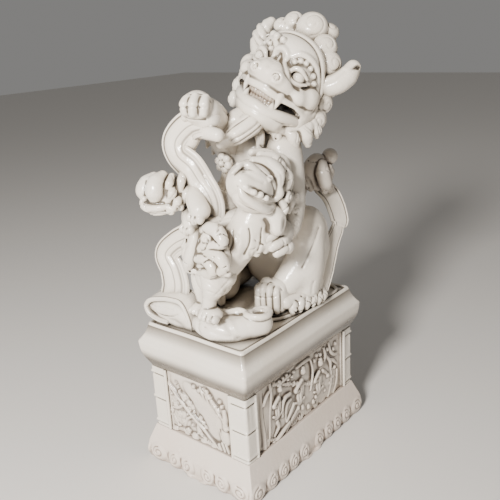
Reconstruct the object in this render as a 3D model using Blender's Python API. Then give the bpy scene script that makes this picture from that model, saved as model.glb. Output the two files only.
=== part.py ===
"""Foo dog statue in white porcelain: a seated lion with two cubs and a silk ribbon on a relief plinth.

The piece is built the way a pottery builds it: press-moulded and rolled parts, luted together with
slip. Every part is its own closed solid. Lengths in the tables are millimetres (MM turns them to metres).
Origin: the middle of the whole statue's footprint, on the table. +Z up, the lion faces -X, its left
side is toward -Y. The tables are measured from the middle of the plinth; the last step moves every
part from there to the origin, since the lion's tipped head reaches out past the plinth on one side.
"""

import math

import bmesh
import bpy
from mathutils import Matrix, Vector

MM = 0.001

# Plinth, from the table up.
BASE_X = 88.0          # half length of the base moulding
BASE_Y = 61.0          # half width of the base moulding
BAND_TOP = 16.5        # top of the scroll band
LEDGE_TOP = 33.0       # top of the sloping ledge, where posts and panels stand
FACE_INSET = 7.0       # post faces behind the base moulding
WALL = 5.0             # wall of the hollow plinth
NOTCH = 2.6            # depth of the notches between two scroll lobes
ARCH = 4.5             # rise of the ogee gap in the middle of each side
CORNICE_LOW = 93.0     # underside of the cornice
CORNICE_TOP = 134.3    # thin raised lip around the top
LIP_DROP = 1.2         # sunk top face behind the lip
POST_X = 14.0          # post width along the long side
POST_Y = 18.0          # post width along the short side
RING_HEIGHTS = (36.0, 61.0, 86.0)
GAP = 0.3              # seam left between two luted parts
TOP = CORNICE_TOP - LIP_DROP
SLAB_TOP = TOP + 3.6   # ground slab under the lion

# The adult head: its centre, and the way it looks (up, and tipped onto its left side).
HEAD_AT = Vector((27.0, -26.0, 326.5))
HEAD_FORWARD = Vector((-0.909, -0.263, 0.322)).normalized()
HEAD_UP = Vector((0.394, -0.294, 0.871)).normalized()

# Meshing of the modelled (not turned or cut) parts.
VOXEL = 1.7
SMOOTH_STEPS = 3
SEAT_GAP = 0.45        # how far a part's seat is cut back from its neighbour
SEAT_TRIES = ((1.0, False), (1.0, True), (1.2, False), (1.45, False), (1.45, True), (1.8, False))
LEAST_LEFT = 0.3       # share of a part that must stay after each cut
DETAIL = 0.55          # share of each part's triangle budget that is used

GLAZE = (0.83, 0.80, 0.76, 1.0)
BISQUE = (0.80, 0.73, 0.68, 1.0)
SHADED = (0.55, 0.50, 0.45, 1.0)

made = []              # finished nodes, in the order they were made


def clear_scene():
    for thing in list(bpy.data.objects):
        bpy.data.objects.remove(thing, do_unlink=True)


def porcelain(name, colour, roughness=0.16):
    material = bpy.data.materials.new(name)
    material.use_nodes = True
    shader = material.node_tree.nodes["Principled BSDF"]
    shader.inputs["Base Color"].default_value = colour
    shader.inputs["Roughness"].default_value = roughness
    shader.inputs["Metallic"].default_value = 0.0
    return material


def add_object(name, mesh, colour=GLAZE):
    thing = bpy.data.objects.new(name, mesh)
    bpy.context.scene.collection.objects.link(thing)
    mesh.materials.clear()
    mesh.materials.append(porcelain(name + "_glaze", colour))
    return thing


def to_mesh(shape, name):
    bmesh.ops.recalc_face_normals(shape, faces=shape.faces)
    mesh = bpy.data.meshes.new(name)
    shape.to_mesh(mesh)
    shape.free()
    return mesh


def evaluated_mesh(thing, name):
    graph = bpy.context.evaluated_depsgraph_get()
    graph.update()
    return bpy.data.meshes.new_from_object(thing.evaluated_get(graph))


# ---------------------------------------------------------------- shapes

def spline(points, per_span):
    """Catmull-Rom points through a short list of hand-set points."""
    pts = [Vector(p) for p in points]
    ends = [pts[0] * 2 - pts[1]] + pts + [pts[-1] * 2 - pts[-2]]
    out = []
    for i in range(1, len(ends) - 2):
        a, b, c, d = ends[i - 1:i + 3]
        for k in range(per_span):
            t = k / per_span
            out.append(0.5 * (2 * b + (c - a) * t + (2 * a - 5 * b + 4 * c - d) * t * t
                              + (3 * b - a - 3 * c + d) * t ** 3))
    return out + [pts[-1]]


def blend(values, count):
    """Linear values along the same path, one for each of count points."""
    last = len(values) - 1
    out = []
    for i in range(count):
        f = i / (count - 1) * last
        k = min(int(f), last - 1)
        out.append(values[k] + (values[k + 1] - values[k]) * (f - k))
    return out


def skin_rings(shape, rings):
    """Join rings of points into one closed tube with fans at both ends."""
    loops = [[shape.verts.new(p * MM) for p in ring] for ring in rings]
    for low, high in zip(loops, loops[1:]):
        for i in range(len(low)):
            j = (i + 1) % len(low)
            shape.faces.new((low[i], low[j], high[j], high[i]))
    shape.faces.new(list(reversed(loops[0])))
    shape.faces.new(loops[-1])


def ball(shape, at, radii, turn=0.0, tilt=0.0, place=None):
    """Ellipsoid: turn is about Z, tilt about the turned Y; place is a local frame."""
    matrix = (Matrix.Translation(Vector(at) * MM) @ Matrix.Rotation(math.radians(turn), 4, "Z")
              @ Matrix.Rotation(math.radians(tilt), 4, "Y")
              @ Matrix.Diagonal(Vector((*radii, 1000.0)) * MM))
    if place is not None:
        matrix = place @ matrix
    bmesh.ops.create_icosphere(shape, subdivisions=3, radius=1.0, matrix=matrix)


def limb(shape, points, radii, place=None, sides=12):
    """Tapering round limb with domed ends through the points."""
    if place is not None:
        points = [place @ (Vector(p) * MM) / MM for p in points]
    path = spline(points, 5)
    sizes = blend(radii, len(path))
    rings = []
    axis = (path[1] - path[0]).normalized()
    across = axis.orthogonal().normalized()
    for i, p in enumerate(path):
        along = (path[min(i + 1, len(path) - 1)] - path[max(i - 1, 0)]).normalized()
        across = (across - along * across.dot(along)).normalized()
        other = along.cross(across)
        steps = [(0.0, 1.0)]
        if i == 0:
            steps = [(-0.95, 0.3), (-0.7, 0.7), (0.0, 1.0)]
        elif i == len(path) - 1:
            steps = [(0.0, 1.0), (0.7, 0.7), (0.95, 0.3)]
        for shift, scale in steps:
            centre = p + along * shift * sizes[i]
            ring = [centre + (across * math.cos(a) + other * math.sin(a)) * sizes[i] * scale
                    for a in (math.tau * k / sides for k in range(sides))]
            rings.append(ring)
    skin_rings(shape, rings)


def strap(shape, points, faces, widths, thick):
    """Flat band through the points; faces holds the way its broad face looks at each point."""
    path = spline(points, 6)
    looks = spline(faces, 6)
    sizes = blend(widths, len(path))
    rings = []
    for i, p in enumerate(path):
        along = (path[min(i + 1, len(path) - 1)] - path[max(i - 1, 0)]).normalized()
        out = (looks[i] - along * looks[i].dot(along)).normalized()
        side = along.cross(out)
        half = sizes[i] / 2
        outline = ((half, 0.0), (half * 0.8, thick / 2), (-half * 0.8, thick / 2),
                   (-half, 0.0), (-half * 0.8, -thick / 2), (half * 0.8, -thick / 2))
        rings.append([p + side * a + out * b for a, b in outline])
    skin_rings(shape, rings)


# ---------------------------------------------------------------- finishing

def modelled(name, shape, tris, colour=GLAZE, voxel=VOXEL):
    """Weld overlapping lumps into one smooth closed skin, seat it on its neighbours, keep it."""
    thing = add_object(name, to_mesh(shape, name), colour)
    weld = thing.modifiers.new("weld", "REMESH")
    weld.mode = "VOXEL"
    weld.voxel_size = voxel * MM
    soften = thing.modifiers.new("soften", "SMOOTH")
    soften.iterations = SMOOTH_STEPS
    soften.factor = 0.5
    dense = evaluated_mesh(thing, name)
    count = sum(len(p.vertices) - 2 for p in dense.polygons)
    bpy.data.meshes.remove(dense)
    thin = thing.modifiers.new("thin", "DECIMATE")
    thin.ratio = min(1.0, tris * DETAIL / count)
    finish(thing)
    return thing


def boxes_meet(one, two):
    margin = SEAT_GAP * MM * 2.5
    return all(a[0] <= b[1] + margin and b[0] <= a[1] + margin for a, b in zip(extent(one), extent(two)))


def extent(thing):
    points = [v.co for v in thing.data.vertices]
    return [(min(p[i] for p in points), max(p[i] for p in points)) for i in range(3)]


def bake(thing):
    mesh = evaluated_mesh(thing, thing.name)
    thing.modifiers.clear()
    old = thing.data
    thing.data = mesh
    bpy.data.meshes.remove(old)
    mesh.name = thing.name


def seat_cutter(other, gap):
    """The neighbour, grown by the seat gap."""
    cutter = bpy.data.objects.new("seat_cutter", other.data.copy())
    bpy.context.scene.collection.objects.link(cutter)
    grow = cutter.modifiers.new("grow", "DISPLACE")
    grow.strength = gap * MM
    grow.mid_level = 0.0
    bake(cutter)
    cutter.hide_render = True
    cutter.display_type = "WIRE"
    return cutter


def closed_volume(mesh):
    """Volume inside a closed skin, or zero where the skin is open."""
    shape = bmesh.new()
    shape.from_mesh(mesh)
    closed = len(shape.verts) > 0 and all(len(edge.link_faces) == 2 for edge in shape.edges)
    volume = shape.calc_volume() if closed else 0.0
    shape.free()
    return volume


def cut_seat(thing, other):
    """Cut the part back from one neighbour, with a wider seat where the first is not clean."""
    whole = thing.data.copy()
    least = closed_volume(whole) * LEAST_LEFT
    for factor, mode in SEAT_TRIES:
        cutter = seat_cutter(other, SEAT_GAP * factor)
        cut = thing.modifiers.new("seat", "BOOLEAN")
        cut.operation = "DIFFERENCE"
        cut.solver = "EXACT"
        cut.use_self = mode
        cut.object = cutter
        bake(thing)
        bpy.data.objects.remove(cutter, do_unlink=True)
        keep_main_body(thing.data)
        if closed_volume(thing.data) > least:
            return
        thing.data = whole.copy()
    raise RuntimeError(thing.name + " has no clean seat against " + other.name)


def finish(thing, seated=True):
    """Bake the modifiers, cut the part back from every neighbour it meets, keep its main body.

    The plinth's parts leave seated off, since their own sizes already leave the seams."""
    bake(thing)
    keep_main_body(thing.data)
    for other in [o for o in made if seated and boxes_meet(thing, o)]:
        cut_seat(thing, other)
    thing.data.shade_smooth()
    thing.data.set_sharp_from_angle(angle=math.radians(50))
    made.append(thing)


def islands(shape):
    left = set(shape.verts)
    while left:
        start = left.pop()
        group = [start]
        queue = [start]
        while queue:
            vert = queue.pop()
            for edge in vert.link_edges:
                other = edge.other_vert(vert)
                if other in left:
                    left.remove(other)
                    group.append(other)
                    queue.append(other)
        yield group


def keep_main_body(mesh):
    shape = bmesh.new()
    shape.from_mesh(mesh)
    bmesh.ops.remove_doubles(shape, verts=shape.verts, dist=0.00002)
    bmesh.ops.dissolve_degenerate(shape, edges=shape.edges, dist=0.00002)
    groups = sorted(islands(shape), key=span, reverse=True)
    loose = [v for group in groups[1:] for v in group]
    bmesh.ops.delete(shape, geom=loose, context="VERTS")
    bmesh.ops.triangulate(shape, faces=shape.faces)
    bmesh.ops.recalc_face_normals(shape, faces=shape.faces)
    shape.to_mesh(mesh)
    shape.free()


def span(group):
    size = 1.0
    for axis in range(3):
        values = [v.co[axis] for v in group]
        size *= max(values) - min(values) + 1e-6
    return size


def head_frame():
    """Head space: X to the lion's right, Y out of its face, Z out of its crown."""
    up = (HEAD_UP - HEAD_FORWARD * HEAD_UP.dot(HEAD_FORWARD)).normalized()
    right = HEAD_FORWARD.cross(up)
    turn = Matrix((right, HEAD_FORWARD, up)).transposed().to_4x4()
    return Matrix.Translation(HEAD_AT * MM) @ turn


# ---------------------------------------------------------------- plinth

def side_marks(half, corner, lobes):
    """Places along one side of the base, with the height of its lower edge at each place.

    Scroll lobes stand on the table, a notch parts two lobes, and an ogee arch parts the two groups."""
    lobe = 13.0
    marks = [(-half, 0.0)]
    start = -half + corner
    for sign in (1, -1):
        group = []
        for k in range(1, lobes + 1):
            at = start + lobe * k
            depth = NOTCH if k < lobes else 0.0
            group += [(at - 1.6, 0.0), (at, depth), (at + 1.6, 0.0)] if depth else [(at, 0.0)]
        inner = start + lobe * lobes
        group += [(inner * 0.7, ARCH * 0.75), (inner * 0.3, ARCH)]
        marks += group if sign == 1 else [(-a, z) for a, z in reversed(group)]
    return marks


def base_outline():
    """Lower edge points (x, y, z) around the base moulding, anticlockwise from above."""
    long_side = side_marks(BASE_X, 5.0, 4)
    short_side = side_marks(BASE_Y, 5.0, 3)
    points = [(a, -BASE_Y, z) for a, z in long_side]
    points += [(BASE_X, a, z) for a, z in short_side]
    points += [(-a, BASE_Y, z) for a, z in long_side]
    points += [(-BASE_X, -a, z) for a, z in short_side]
    return points


def inset_point(x, y, inset):
    sx = (BASE_X - inset) / BASE_X
    sy = (BASE_Y - inset) / BASE_Y
    return x * sx, y * sy


def make_base_moulding():
    """Hollow frame with a scalloped scroll band below and a sloping ledge above."""
    outline = base_outline()
    levels = ((0.0, None), (0.0, BAND_TOP), (1.2, BAND_TOP + 3.0), (FACE_INSET - 1.0, LEDGE_TOP),
              (FACE_INSET + WALL, LEDGE_TOP), (FACE_INSET + WALL, BAND_TOP), (WALL, None))
    shape = bmesh.new()
    loops = []
    for inset, height in levels:
        ring = []
        for x, y, z in outline:
            px, py = inset_point(x, y, inset)
            ring.append(shape.verts.new(Vector((px, py, z if height is None else height)) * MM))
        loops.append(ring)
    for low, high in zip(loops, loops[1:] + loops[:1]):
        for i in range(len(low)):
            j = (i + 1) % len(low)
            shape.faces.new((low[i], low[j], high[j], high[i]))
    finish(add_object("base_moulding", to_mesh(shape, "base_moulding"), BISQUE), seated=False)


def post_outline(width, depth, swell):
    """Rounded square section of a bamboo post; its outer corner is at +X +Y."""
    radius = 4.0
    x1 = width / 2 + swell
    y1 = depth / 2 + swell
    points = []
    for cx, cy, start in ((x1 - radius, y1 - radius, 0), (-x1 + 1, y1 - 1, 90),
                          (-x1 + 1, -y1 + 1, 180), (x1 - 1, -y1 + 1, 270)):
        r = radius if start == 0 else 1.0
        for k in range(4 if start == 0 else 2):
            a = math.radians(start + 90 * k / (3 if start == 0 else 1))
            points.append((cx + r * math.cos(a), cy + r * math.sin(a)))
    return points


def make_post(name, sx, sy):
    """Bamboo post: three swollen nodes with a groove under each."""
    low = LEDGE_TOP + GAP
    high = CORNICE_LOW - GAP
    levels = [(low, 0.0)]
    for ring in RING_HEIGHTS:
        levels += [(ring - 2.5, -0.3), (ring - 0.6, -0.9), (ring + 0.8, 0.0), (ring + 3.5, -0.5)]
    levels = [l for l in levels if low <= l[0] < high - 1.0] + [(high, -0.5)]
    x = sx * (BASE_X - FACE_INSET - POST_X / 2)
    y = sy * (BASE_Y - FACE_INSET - POST_Y / 2)
    rings = []
    for z, swell in levels:
        outline = post_outline(POST_X - 1.0, POST_Y - 1.0, swell)
        ring = [Vector((x + sx * a, y + sy * b, z)) for a, b in outline]
        rings.append(ring if sx * sy > 0 else ring[::-1])
    shape = bmesh.new()
    skin_rings(shape, rings)
    finish(add_object(name, to_mesh(shape, name)), seated=False)


def relief_height(u, v, strokes):
    """Height of the relief at a place on a panel: the highest stroke wins."""
    best = 0.0
    for (u0, v0), (u1, v1), radius, rise in strokes:
        du, dv = u1 - u0, v1 - v0
        length = du * du + dv * dv
        t = 0.0 if length == 0 else max(0.0, min(1.0, ((u - u0) * du + (v - v0) * dv) / length))
        gap = math.hypot(u - u0 - t * du, v - v0 - t * dv) / radius
        if gap < 1.0:
            best = max(best, rise * math.sqrt(1.0 - gap * gap))
    return best


# Strokes in panel millimetres from the panel's lower middle: start, end, radius, rise.
TREE_STROKES = (
    ((-38, 52), (-8, 30), 3.0, 2.6), ((-8, 30), (34, 4), 3.4, 2.8), ((-30, 40), (-26, 18), 6.5, 2.0),
    ((-12, 44), (4, 50), 6.0, 2.2), ((12, 36), (18, 48), 6.5, 2.0), ((28, 20), (31, 44), 5.5, 3.0),
    ((24, 12), (31, 14), 5.5, 3.0), ((-36, 6), (-14, 5), 5.0, 2.2), ((-4, 6), (10, 4), 4.5, 2.2),
)
RIDER_STROKES = (
    ((-60, 4), (-50, 54), 4.0, 2.4), ((-48, 10), (-38, 34), 5.0, 2.8), ((-36, 24), (-28, 46), 5.5, 3.0),
    ((-14, 20), (-12, 46), 6.5, 3.2), ((4, 24), (6, 46), 6.5, 3.2), ((22, 26), (26, 44), 7.0, 3.0),
    ((-60, 8), (-20, 20), 3.6, 2.4), ((-16, 12), (20, 16), 5.0, 2.2), ((34, 8), (58, 20), 5.0, 2.2),
    ((44, 34), (58, 50), 5.0, 2.2), ((-30, 6), (40, 5), 4.0, 1.8),
)


def make_panel(name, facing, strokes):
    """Pressed relief slab between two posts; facing is the side it closes: x+, x-, y+ or y-."""
    along_y = facing[0] == "x"
    sign = 1 if facing[1] == "+" else -1
    half = (BASE_Y - FACE_INSET - POST_Y - GAP) if along_y else (BASE_X - FACE_INSET - POST_X - GAP)
    face = (BASE_X if along_y else BASE_Y) - FACE_INSET - 3.4
    low, high = LEDGE_TOP + GAP, CORNICE_LOW - GAP
    columns = 12 if along_y else 18
    rows = 10
    shape = bmesh.new()

    def vert(i, j, depth):
        u = -half + 2 * half * i / columns
        v = (high - low) * j / rows
        rim = i in (0, columns) or j in (0, rows)
        rise = 0.0 if rim else relief_height(u, v, strokes)
        out = face + rise if depth == 0 else face - WALL
        x, y = (sign * out, sign * u) if along_y else (-sign * u, sign * out)
        return shape.verts.new(Vector((x, y, low + v)) * MM)

    front = [[vert(i, j, 0) for j in range(rows + 1)] for i in range(columns + 1)]
    corners = [(0, 0), (columns, 0), (columns, rows), (0, rows)]
    back = {c: vert(c[0], c[1], 1) for c in corners}
    for i in range(columns):
        for j in range(rows):
            shape.faces.new((front[i][j], front[i + 1][j], front[i + 1][j + 1], front[i][j + 1]))
    bottom = [front[i][0] for i in range(columns + 1)]
    right = [front[columns][j] for j in range(rows + 1)]
    top = [front[i][rows] for i in range(columns, -1, -1)]
    left = [front[0][j] for j in range(rows, -1, -1)]
    for line, a, b in ((bottom, 0, 1), (right, 1, 2), (top, 2, 3), (left, 3, 0)):
        shape.faces.new(line[::-1] + [back[corners[a]], back[corners[b]]])
    shape.faces.new([back[c] for c in corners])
    finish(add_object(name, to_mesh(shape, name)), seated=False)


def make_cornice():
    """Cornice slab: undercut, rounded band, hollow slope, thin lip; hollow from below, with a vent."""
    outer = ((FACE_INSET + 0.2, CORNICE_LOW), (4.2, 96.0), (1.6, 101.0), (0.7, 108.0), (0.3, 117.0),
             (0.9, 119.0), (3.6, 122.0), (6.6, 127.0), (8.2, 131.5), (8.3, CORNICE_TOP - 0.5),
             (8.9, CORNICE_TOP), (10.6, CORNICE_TOP), (11.4, TOP))
    inner = ((FACE_INSET + WALL + 3.0, TOP - 6.0), (FACE_INSET + WALL + 3.0, CORNICE_LOW))
    shape = bmesh.new()
    loops = []
    for inset, z in outer + inner:
        x, y = BASE_X - inset, BASE_Y - inset
        corners = ((-x, -y), (x, -y), (x, y), (-x, y))
        loops.append([shape.verts.new(Vector((a, b, z)) * MM) for a, b in corners])
    order = len(outer)
    pairs = list(zip(loops[:order], loops[1:order])) + [(loops[order], loops[order + 1]),
                                                        (loops[order + 1], loops[0])]
    for low, high in pairs:
        for i in range(4):
            j = (i + 1) % 4
            shape.faces.new((low[i], low[j], high[j], high[i]))
    shape.faces.new(loops[order - 1])
    shape.faces.new(loops[order][::-1])
    finish(add_object("cornice", to_mesh(shape, "cornice")), seated=False)


def make_ground_slab():
    """Thin rounded slab under the adult's feet."""
    shape = bmesh.new()
    outline = [(-30, -24), (-14, -40), (12, -47), (40, -49.2), (66, -48), (74, -30), (75, 0),
               (72, 34), (52, 47), (16, 45), (-14, 36), (-28, 12)]
    path = spline([(x, y, 0) for x, y in outline + outline[:1]], 3)[:-1]
    levels = ((0.0, TOP + GAP), (0.0, SLAB_TOP - 1.2), (1.2, SLAB_TOP))
    rings = [[Vector((p.x * (1 - s / 50), p.y * (1 - s / 40), z)) for p in path] for s, z in levels]
    skin_rings(shape, rings)
    finish(add_object("ground_slab", to_mesh(shape, "ground_slab")), seated=False)


def build_plinth():
    make_base_moulding()
    for name, sx, sy in (("post_front_left", -1, -1), ("post_front_right", 1, -1),
                         ("post_back_right", 1, 1), ("post_back_left", -1, 1)):
        make_post(name, sx, sy)
    make_panel("panel_riders_front", "y-", RIDER_STROKES)
    make_panel("panel_riders_back", "y+", RIDER_STROKES)
    make_panel("panel_tree_left", "x-", TREE_STROKES)
    make_panel("panel_tree_right", "x+", TREE_STROKES)
    make_cornice()
    make_ground_slab()


# ---------------------------------------------------------------- ribbon

FLAT = (-1.0, -0.25, 0.1)       # the ribbon's broad face looks out of the front


def build_ribbon():
    parts = (
        ("ribbon_upper", ((-58, -24, 300), (-60, -8, 303), (-62, 6, 301), (-64, 16, 291), (-64, 14, 280),
                          (-63, 4, 271), (-62, -6, 262.5)), (FLAT,) * 7, (12, 18, 22, 26, 26, 24, 23), 4.6, 260),
        ("ribbon_middle", ((-61.5, -9, 260.5), (-59, -17, 249), (-58, -17, 236), (-60, -7, 224),
                           (-62, 8, 215), (-64, 24, 208)), (FLAT,) * 6, (23, 23, 23, 23, 22, 20), 4.6, 260),
        ("ribbon_column", ((-65, 30, 205), (-66, 36, 196), (-66.5, 31, 184), (-67, 28, 172), (-67, 29, 164)),
         (FLAT,) * 5, (18, 23, 26, 27, 27), 4.6, 220),
        ("ribbon_loop", ((-68, 34, 137), (-70, 50, 141), (-70, 53, 151), (-69, 44, 160), (-68, 27, 161),
                         (-69, 13, 157), (-70, 5, 148), (-71, 2, 138)),
         ((0, 1, -1), (0, 1, 0), (0, 1, 0.5), (0, 0.3, 1), (0, 0, 1), (0, -0.5, 1), (0, -1, 0.5), (0, -1, 0.2)),
         (16, 20, 22, 22, 22, 22, 18, 10), 4.2, 360),
        ("ribbon_scroll", ((-73, 0, 146), (-75, -14, 146), (-73, -30, 146), (-63, -43, 146), (-49, -49, 146),
                           (-38, -46, 146), (-37, -38, 146), (-44, -37, 146)),
         ((-1, 0, 0), (-1, 0, 0), (-1, -0.4, 0), (-1, -1, 0), (0, -1, 0), (1, -0.6, 0), (1, 1, 0), (0, 1, 0)),
         (18, 22, 24, 24, 24, 23, 20, 18), 4.2, 420),
    )
    for name, points, faces, widths, thick, tris in parts:
        shape = bmesh.new()
        strap(shape, points, faces, widths, thick)
        modelled(name, shape, tris, voxel=1.4)
    shape = bmesh.new()
    ball(shape, (-58, -14, 143), (11, 15, 13))
    ball(shape, (-50, -24, 143), (10, 12, 12))
    modelled("ribbon_fold", shape, 200)


# ---------------------------------------------------------------- cubs

def build_front_cub():
    shape = bmesh.new()
    limb(shape, ((-65, 2, 209), (-66, -12, 214), (-62, -26, 211), (-62, -32, 201)), (6.5, 7.5, 7.5, 6))
    limb(shape, ((-62, -2, 200), (-69, -8, 194), (-70, -20, 191), (-66, -28, 195)), (6, 7, 7, 5.5))
    ball(shape, (-64, -16, 203), (8, 13, 11))
    modelled("cub_front_tail", shape, 320)

    shape = bmesh.new()
    ball(shape, (-36, -42, 258), (17, 17, 17))
    ball(shape, (-49, -45, 261), (15, 14, 13), turn=25)
    ball(shape, (-36, -52, 262), (8, 7, 8))
    modelled("cub_front_head", shape, 340)

    shape = bmesh.new()
    ball(shape, (-46, -47, 243.5), (15, 12, 6.5), turn=25, tilt=-14)
    modelled("cub_front_jaw", shape, 140)

    shape = bmesh.new()
    for at, size in (((-20, -47, 267), 10), ((-16, -47, 256), 10), ((-17, -47, 244), 9), ((-26, -38, 270), 11)):
        ball(shape, at, (size, size, size + 2))
    modelled("cub_front_mane", shape, 240)

    shape = bmesh.new()
    limb(shape, ((-66, -19, 185), (-71, -18, 176), (-70, -14, 168)), (12, 9.5, 7))
    ball(shape, (-71, -17, 163.5), (8, 9.5, 4.5))
    modelled("cub_front_hind_leg_left", shape, 240)

    shape = bmesh.new()
    limb(shape, ((-58, 2, 188), (-62, 5, 176), (-60, 1, 164)), (8, 7, 6))
    ball(shape, (-64, 3, 162), (7, 6, 4.5))
    modelled("cub_front_hind_leg_right", shape, 180)

    shape = bmesh.new()
    limb(shape, ((-38, -34, 234), (-48, -24, 230), (-56, -18, 228)), (8, 6.5, 6))
    modelled("cub_front_foreleg", shape, 140)

    shape = bmesh.new()
    limb(shape, ((-59, -15, 188), (-52, -27, 206), (-42, -38, 225), (-34, -42, 240)), (15, 16, 17, 14))
    ball(shape, (-50, -37, 203), (8, 7, 13), tilt=20)
    modelled("cub_front_body", shape, 420)


def build_left_cub():
    shape = bmesh.new()
    ball(shape, (-71, 33, 249), (13, 15, 14))
    ball(shape, (-77, 37, 242), (9, 10, 8))
    for y, z in ((16, 253), (15, 242), (22, 261), (20, 235), (33, 262)):
        ball(shape, (-68, y, z), (9, 8, 7.5))
    modelled("cub_left_head", shape, 380)

    shape = bmesh.new()
    limb(shape, ((-70, -4, 250), (-71, -10, 243), (-70, -11, 237)), (5, 6.5, 6))
    modelled("cub_left_paw_upper", shape, 110)
    shape = bmesh.new()
    limb(shape, ((-68, 4, 236), (-70, -2, 231), (-69, -4, 226)), (5, 6, 5.5))
    modelled("cub_left_paw_lower", shape, 110)

    shape = bmesh.new()
    limb(shape, ((-62, 22, 248), (-58, 10, 244), (-52, -4, 240), (-44, -14, 236)), (11, 11, 11, 9))
    modelled("cub_left_body", shape, 220)


# ---------------------------------------------------------------- adult lion

def build_head():
    place = head_frame()
    for side, name in ((1, "right"), (-1, "left")):
        shape = bmesh.new()
        ball(shape, (side * 17, 22, 8.5), (5.4, 5.4, 5.4), place=place)
        modelled("eye_" + name, shape, 80, voxel=1.0)
    for side, name in ((1, "right"), (-1, "left")):
        shape = bmesh.new()
        reach = 47 if side == 1 else 43
        limb(shape, ((side * 31, -5, 14), (side * (reach - 6), -7, 16), (side * (reach - 1), -8, 25),
                     (side * reach, -9, 36)), (8.5, 9, 9.5, 7.5), place=place)
        modelled("ear_" + name, shape, 220)

    shape = bmesh.new()
    for side in (1, -1):
        limb(shape, ((side * 15, 36, -10), (side * 14, 36, -19)), (2.6, 1.0), place=place, sides=8)
        limb(shape, ((side * 17, 30, -30), (side * 14, 33, -22)), (2.8, 1.1), place=place, sides=8)
    limb(shape, ((-17, 26, -18), (-9, 33, -19), (0, 35, -19), (9, 33, -19), (17, 26, -18)),
         (3.6, 3.6, 3.6, 3.6, 3.6), place=place)
    limb(shape, ((-17, 24, -27), (-9, 30, -28), (0, 32, -28), (9, 30, -28), (17, 24, -27)),
         (3.6, 3.6, 3.6, 3.6, 3.6), place=place)
    ball(shape, (0, 14, -22), (17, 14, 8), place=place)
    modelled("teeth", shape, 300, SHADED)

    shape = bmesh.new()
    limb(shape, ((-26, 10, -26), (-19, 26, -31), (0, 34, -33), (19, 26, -31), (26, 10, -26)),
         (6, 6.5, 7, 6.5, 6), place=place)
    ball(shape, (0, 16, -34), (20, 18, 8), place=place)
    modelled("lower_jaw", shape, 320)

    shape = bmesh.new()
    ball(shape, (0, 0, 4), (32, 28, 33), place=place)
    ball(shape, (0, 8, 20), (25, 21, 17), place=place)
    ball(shape, (0, 26, -3), (20, 18, 13), place=place)
    ball(shape, (0, 36, -2), (13, 10, 9), place=place)
    for side in (1, -1):
        ball(shape, (side * 21, 20, -8), (9, 12, 8), place=place)
        ball(shape, (side * 27, 14, -1), (8, 9, 9), place=place)
        limb(shape, ((side * 9, 27, 14), (side * 18, 25, 17), (side * 26, 17, 12)), (4, 4.5, 4), place=place)
        ball(shape, (side * 8, 38, -2), (6.5, 6.5, 6), place=place)
    modelled("head", shape, 760)


def build_mane():
    """Curled locks around the face, in head space: (x, y, z, radius)."""
    place = head_frame()
    groups = {
        "mane_crown": ((4, -8, 50, 11), (22, -8, 46, 8), (33, -8, 38, 7), (-12, -12, 47, 9), (12, -16, 40, 12)),
        "mane_left": ((-19, -4, 38, 9), (-29, -6, 27, 8), (-32, -4, 8, 6), (-37, -6, -3, 6),
                      (-38, -4, -16, 9), (-30, -14, 10, 12), (-32, -12, -10, 11)),
        "mane_right": ((40, -8, 8, 8), (42, -8, -6, 8), (42, -6, -18, 8), (40, -4, -30, 7), (32, -14, 0, 12),
                       (34, -12, -20, 11)),
        "mane_back": ((0, -26, 30, 15), (-16, -27, 10, 15), (16, -27, 10, 15), (0, -30, -8, 16),
                      (-14, -24, -22, 13), (14, -24, -22, 13)),
    }
    for name, lumps in groups.items():
        shape = bmesh.new()
        for x, y, z, r in lumps:
            ball(shape, (x, y, z), (r, r, r), place=place)
        for a, b in zip(lumps, lumps[1:]):
            limb(shape, (a[:3], b[:3]), (a[3] * 0.7, b[3] * 0.7), place=place)
        modelled(name, shape, 340)

    shape = bmesh.new()
    limb(shape, ((-18, -26, 308), (-24, -24, 300), (-30, -18, 293), (-35, -12, 288)), (8, 9, 8.5, 5.5))
    modelled("beard_lock", shape, 160)
    shape = bmesh.new()
    for top, tip in (((-4, 10, -42), (-4, 2, -64)), ((-13, 8, -41), (-16, 0, -60)), ((-23, 4, -37), (-25, -2, -53)),
                     ((-32, -2, -29), (-34, -6, -44))):
        mid = tuple((a + b) / 2 for a, b in zip(top, tip))
        limb(shape, (top, mid, tip), (5, 5.5, 3), place=place)
    limb(shape, ((-4, 6, -40), (-18, 4, -38), (-32, 0, -30)), (5, 5, 5), place=place)
    modelled("beard_strands", shape, 300)


def build_ornaments():
    shape = bmesh.new()
    for k in range(5):
        a = math.tau * k / 5
        ball(shape, (-22.5, 3 + 4 * math.cos(a), 264 + 4 * math.sin(a)), (3.4, 3.6, 3.6))
    ball(shape, (-23.5, 3, 264), (3.6, 3.2, 3.2))
    modelled("bell_rosette", shape, 160, voxel=1.2)
    shape = bmesh.new()
    limb(shape, ((-21, 5, 254), (-22, 7, 246), (-21, 8, 237)), (3.4, 5, 6))
    modelled("bell_tassel", shape, 100, voxel=1.2)


SASH_FACE = (-0.4, -0.85, 0.3)      # the sash's broad face looks out of the lion's left side


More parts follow.
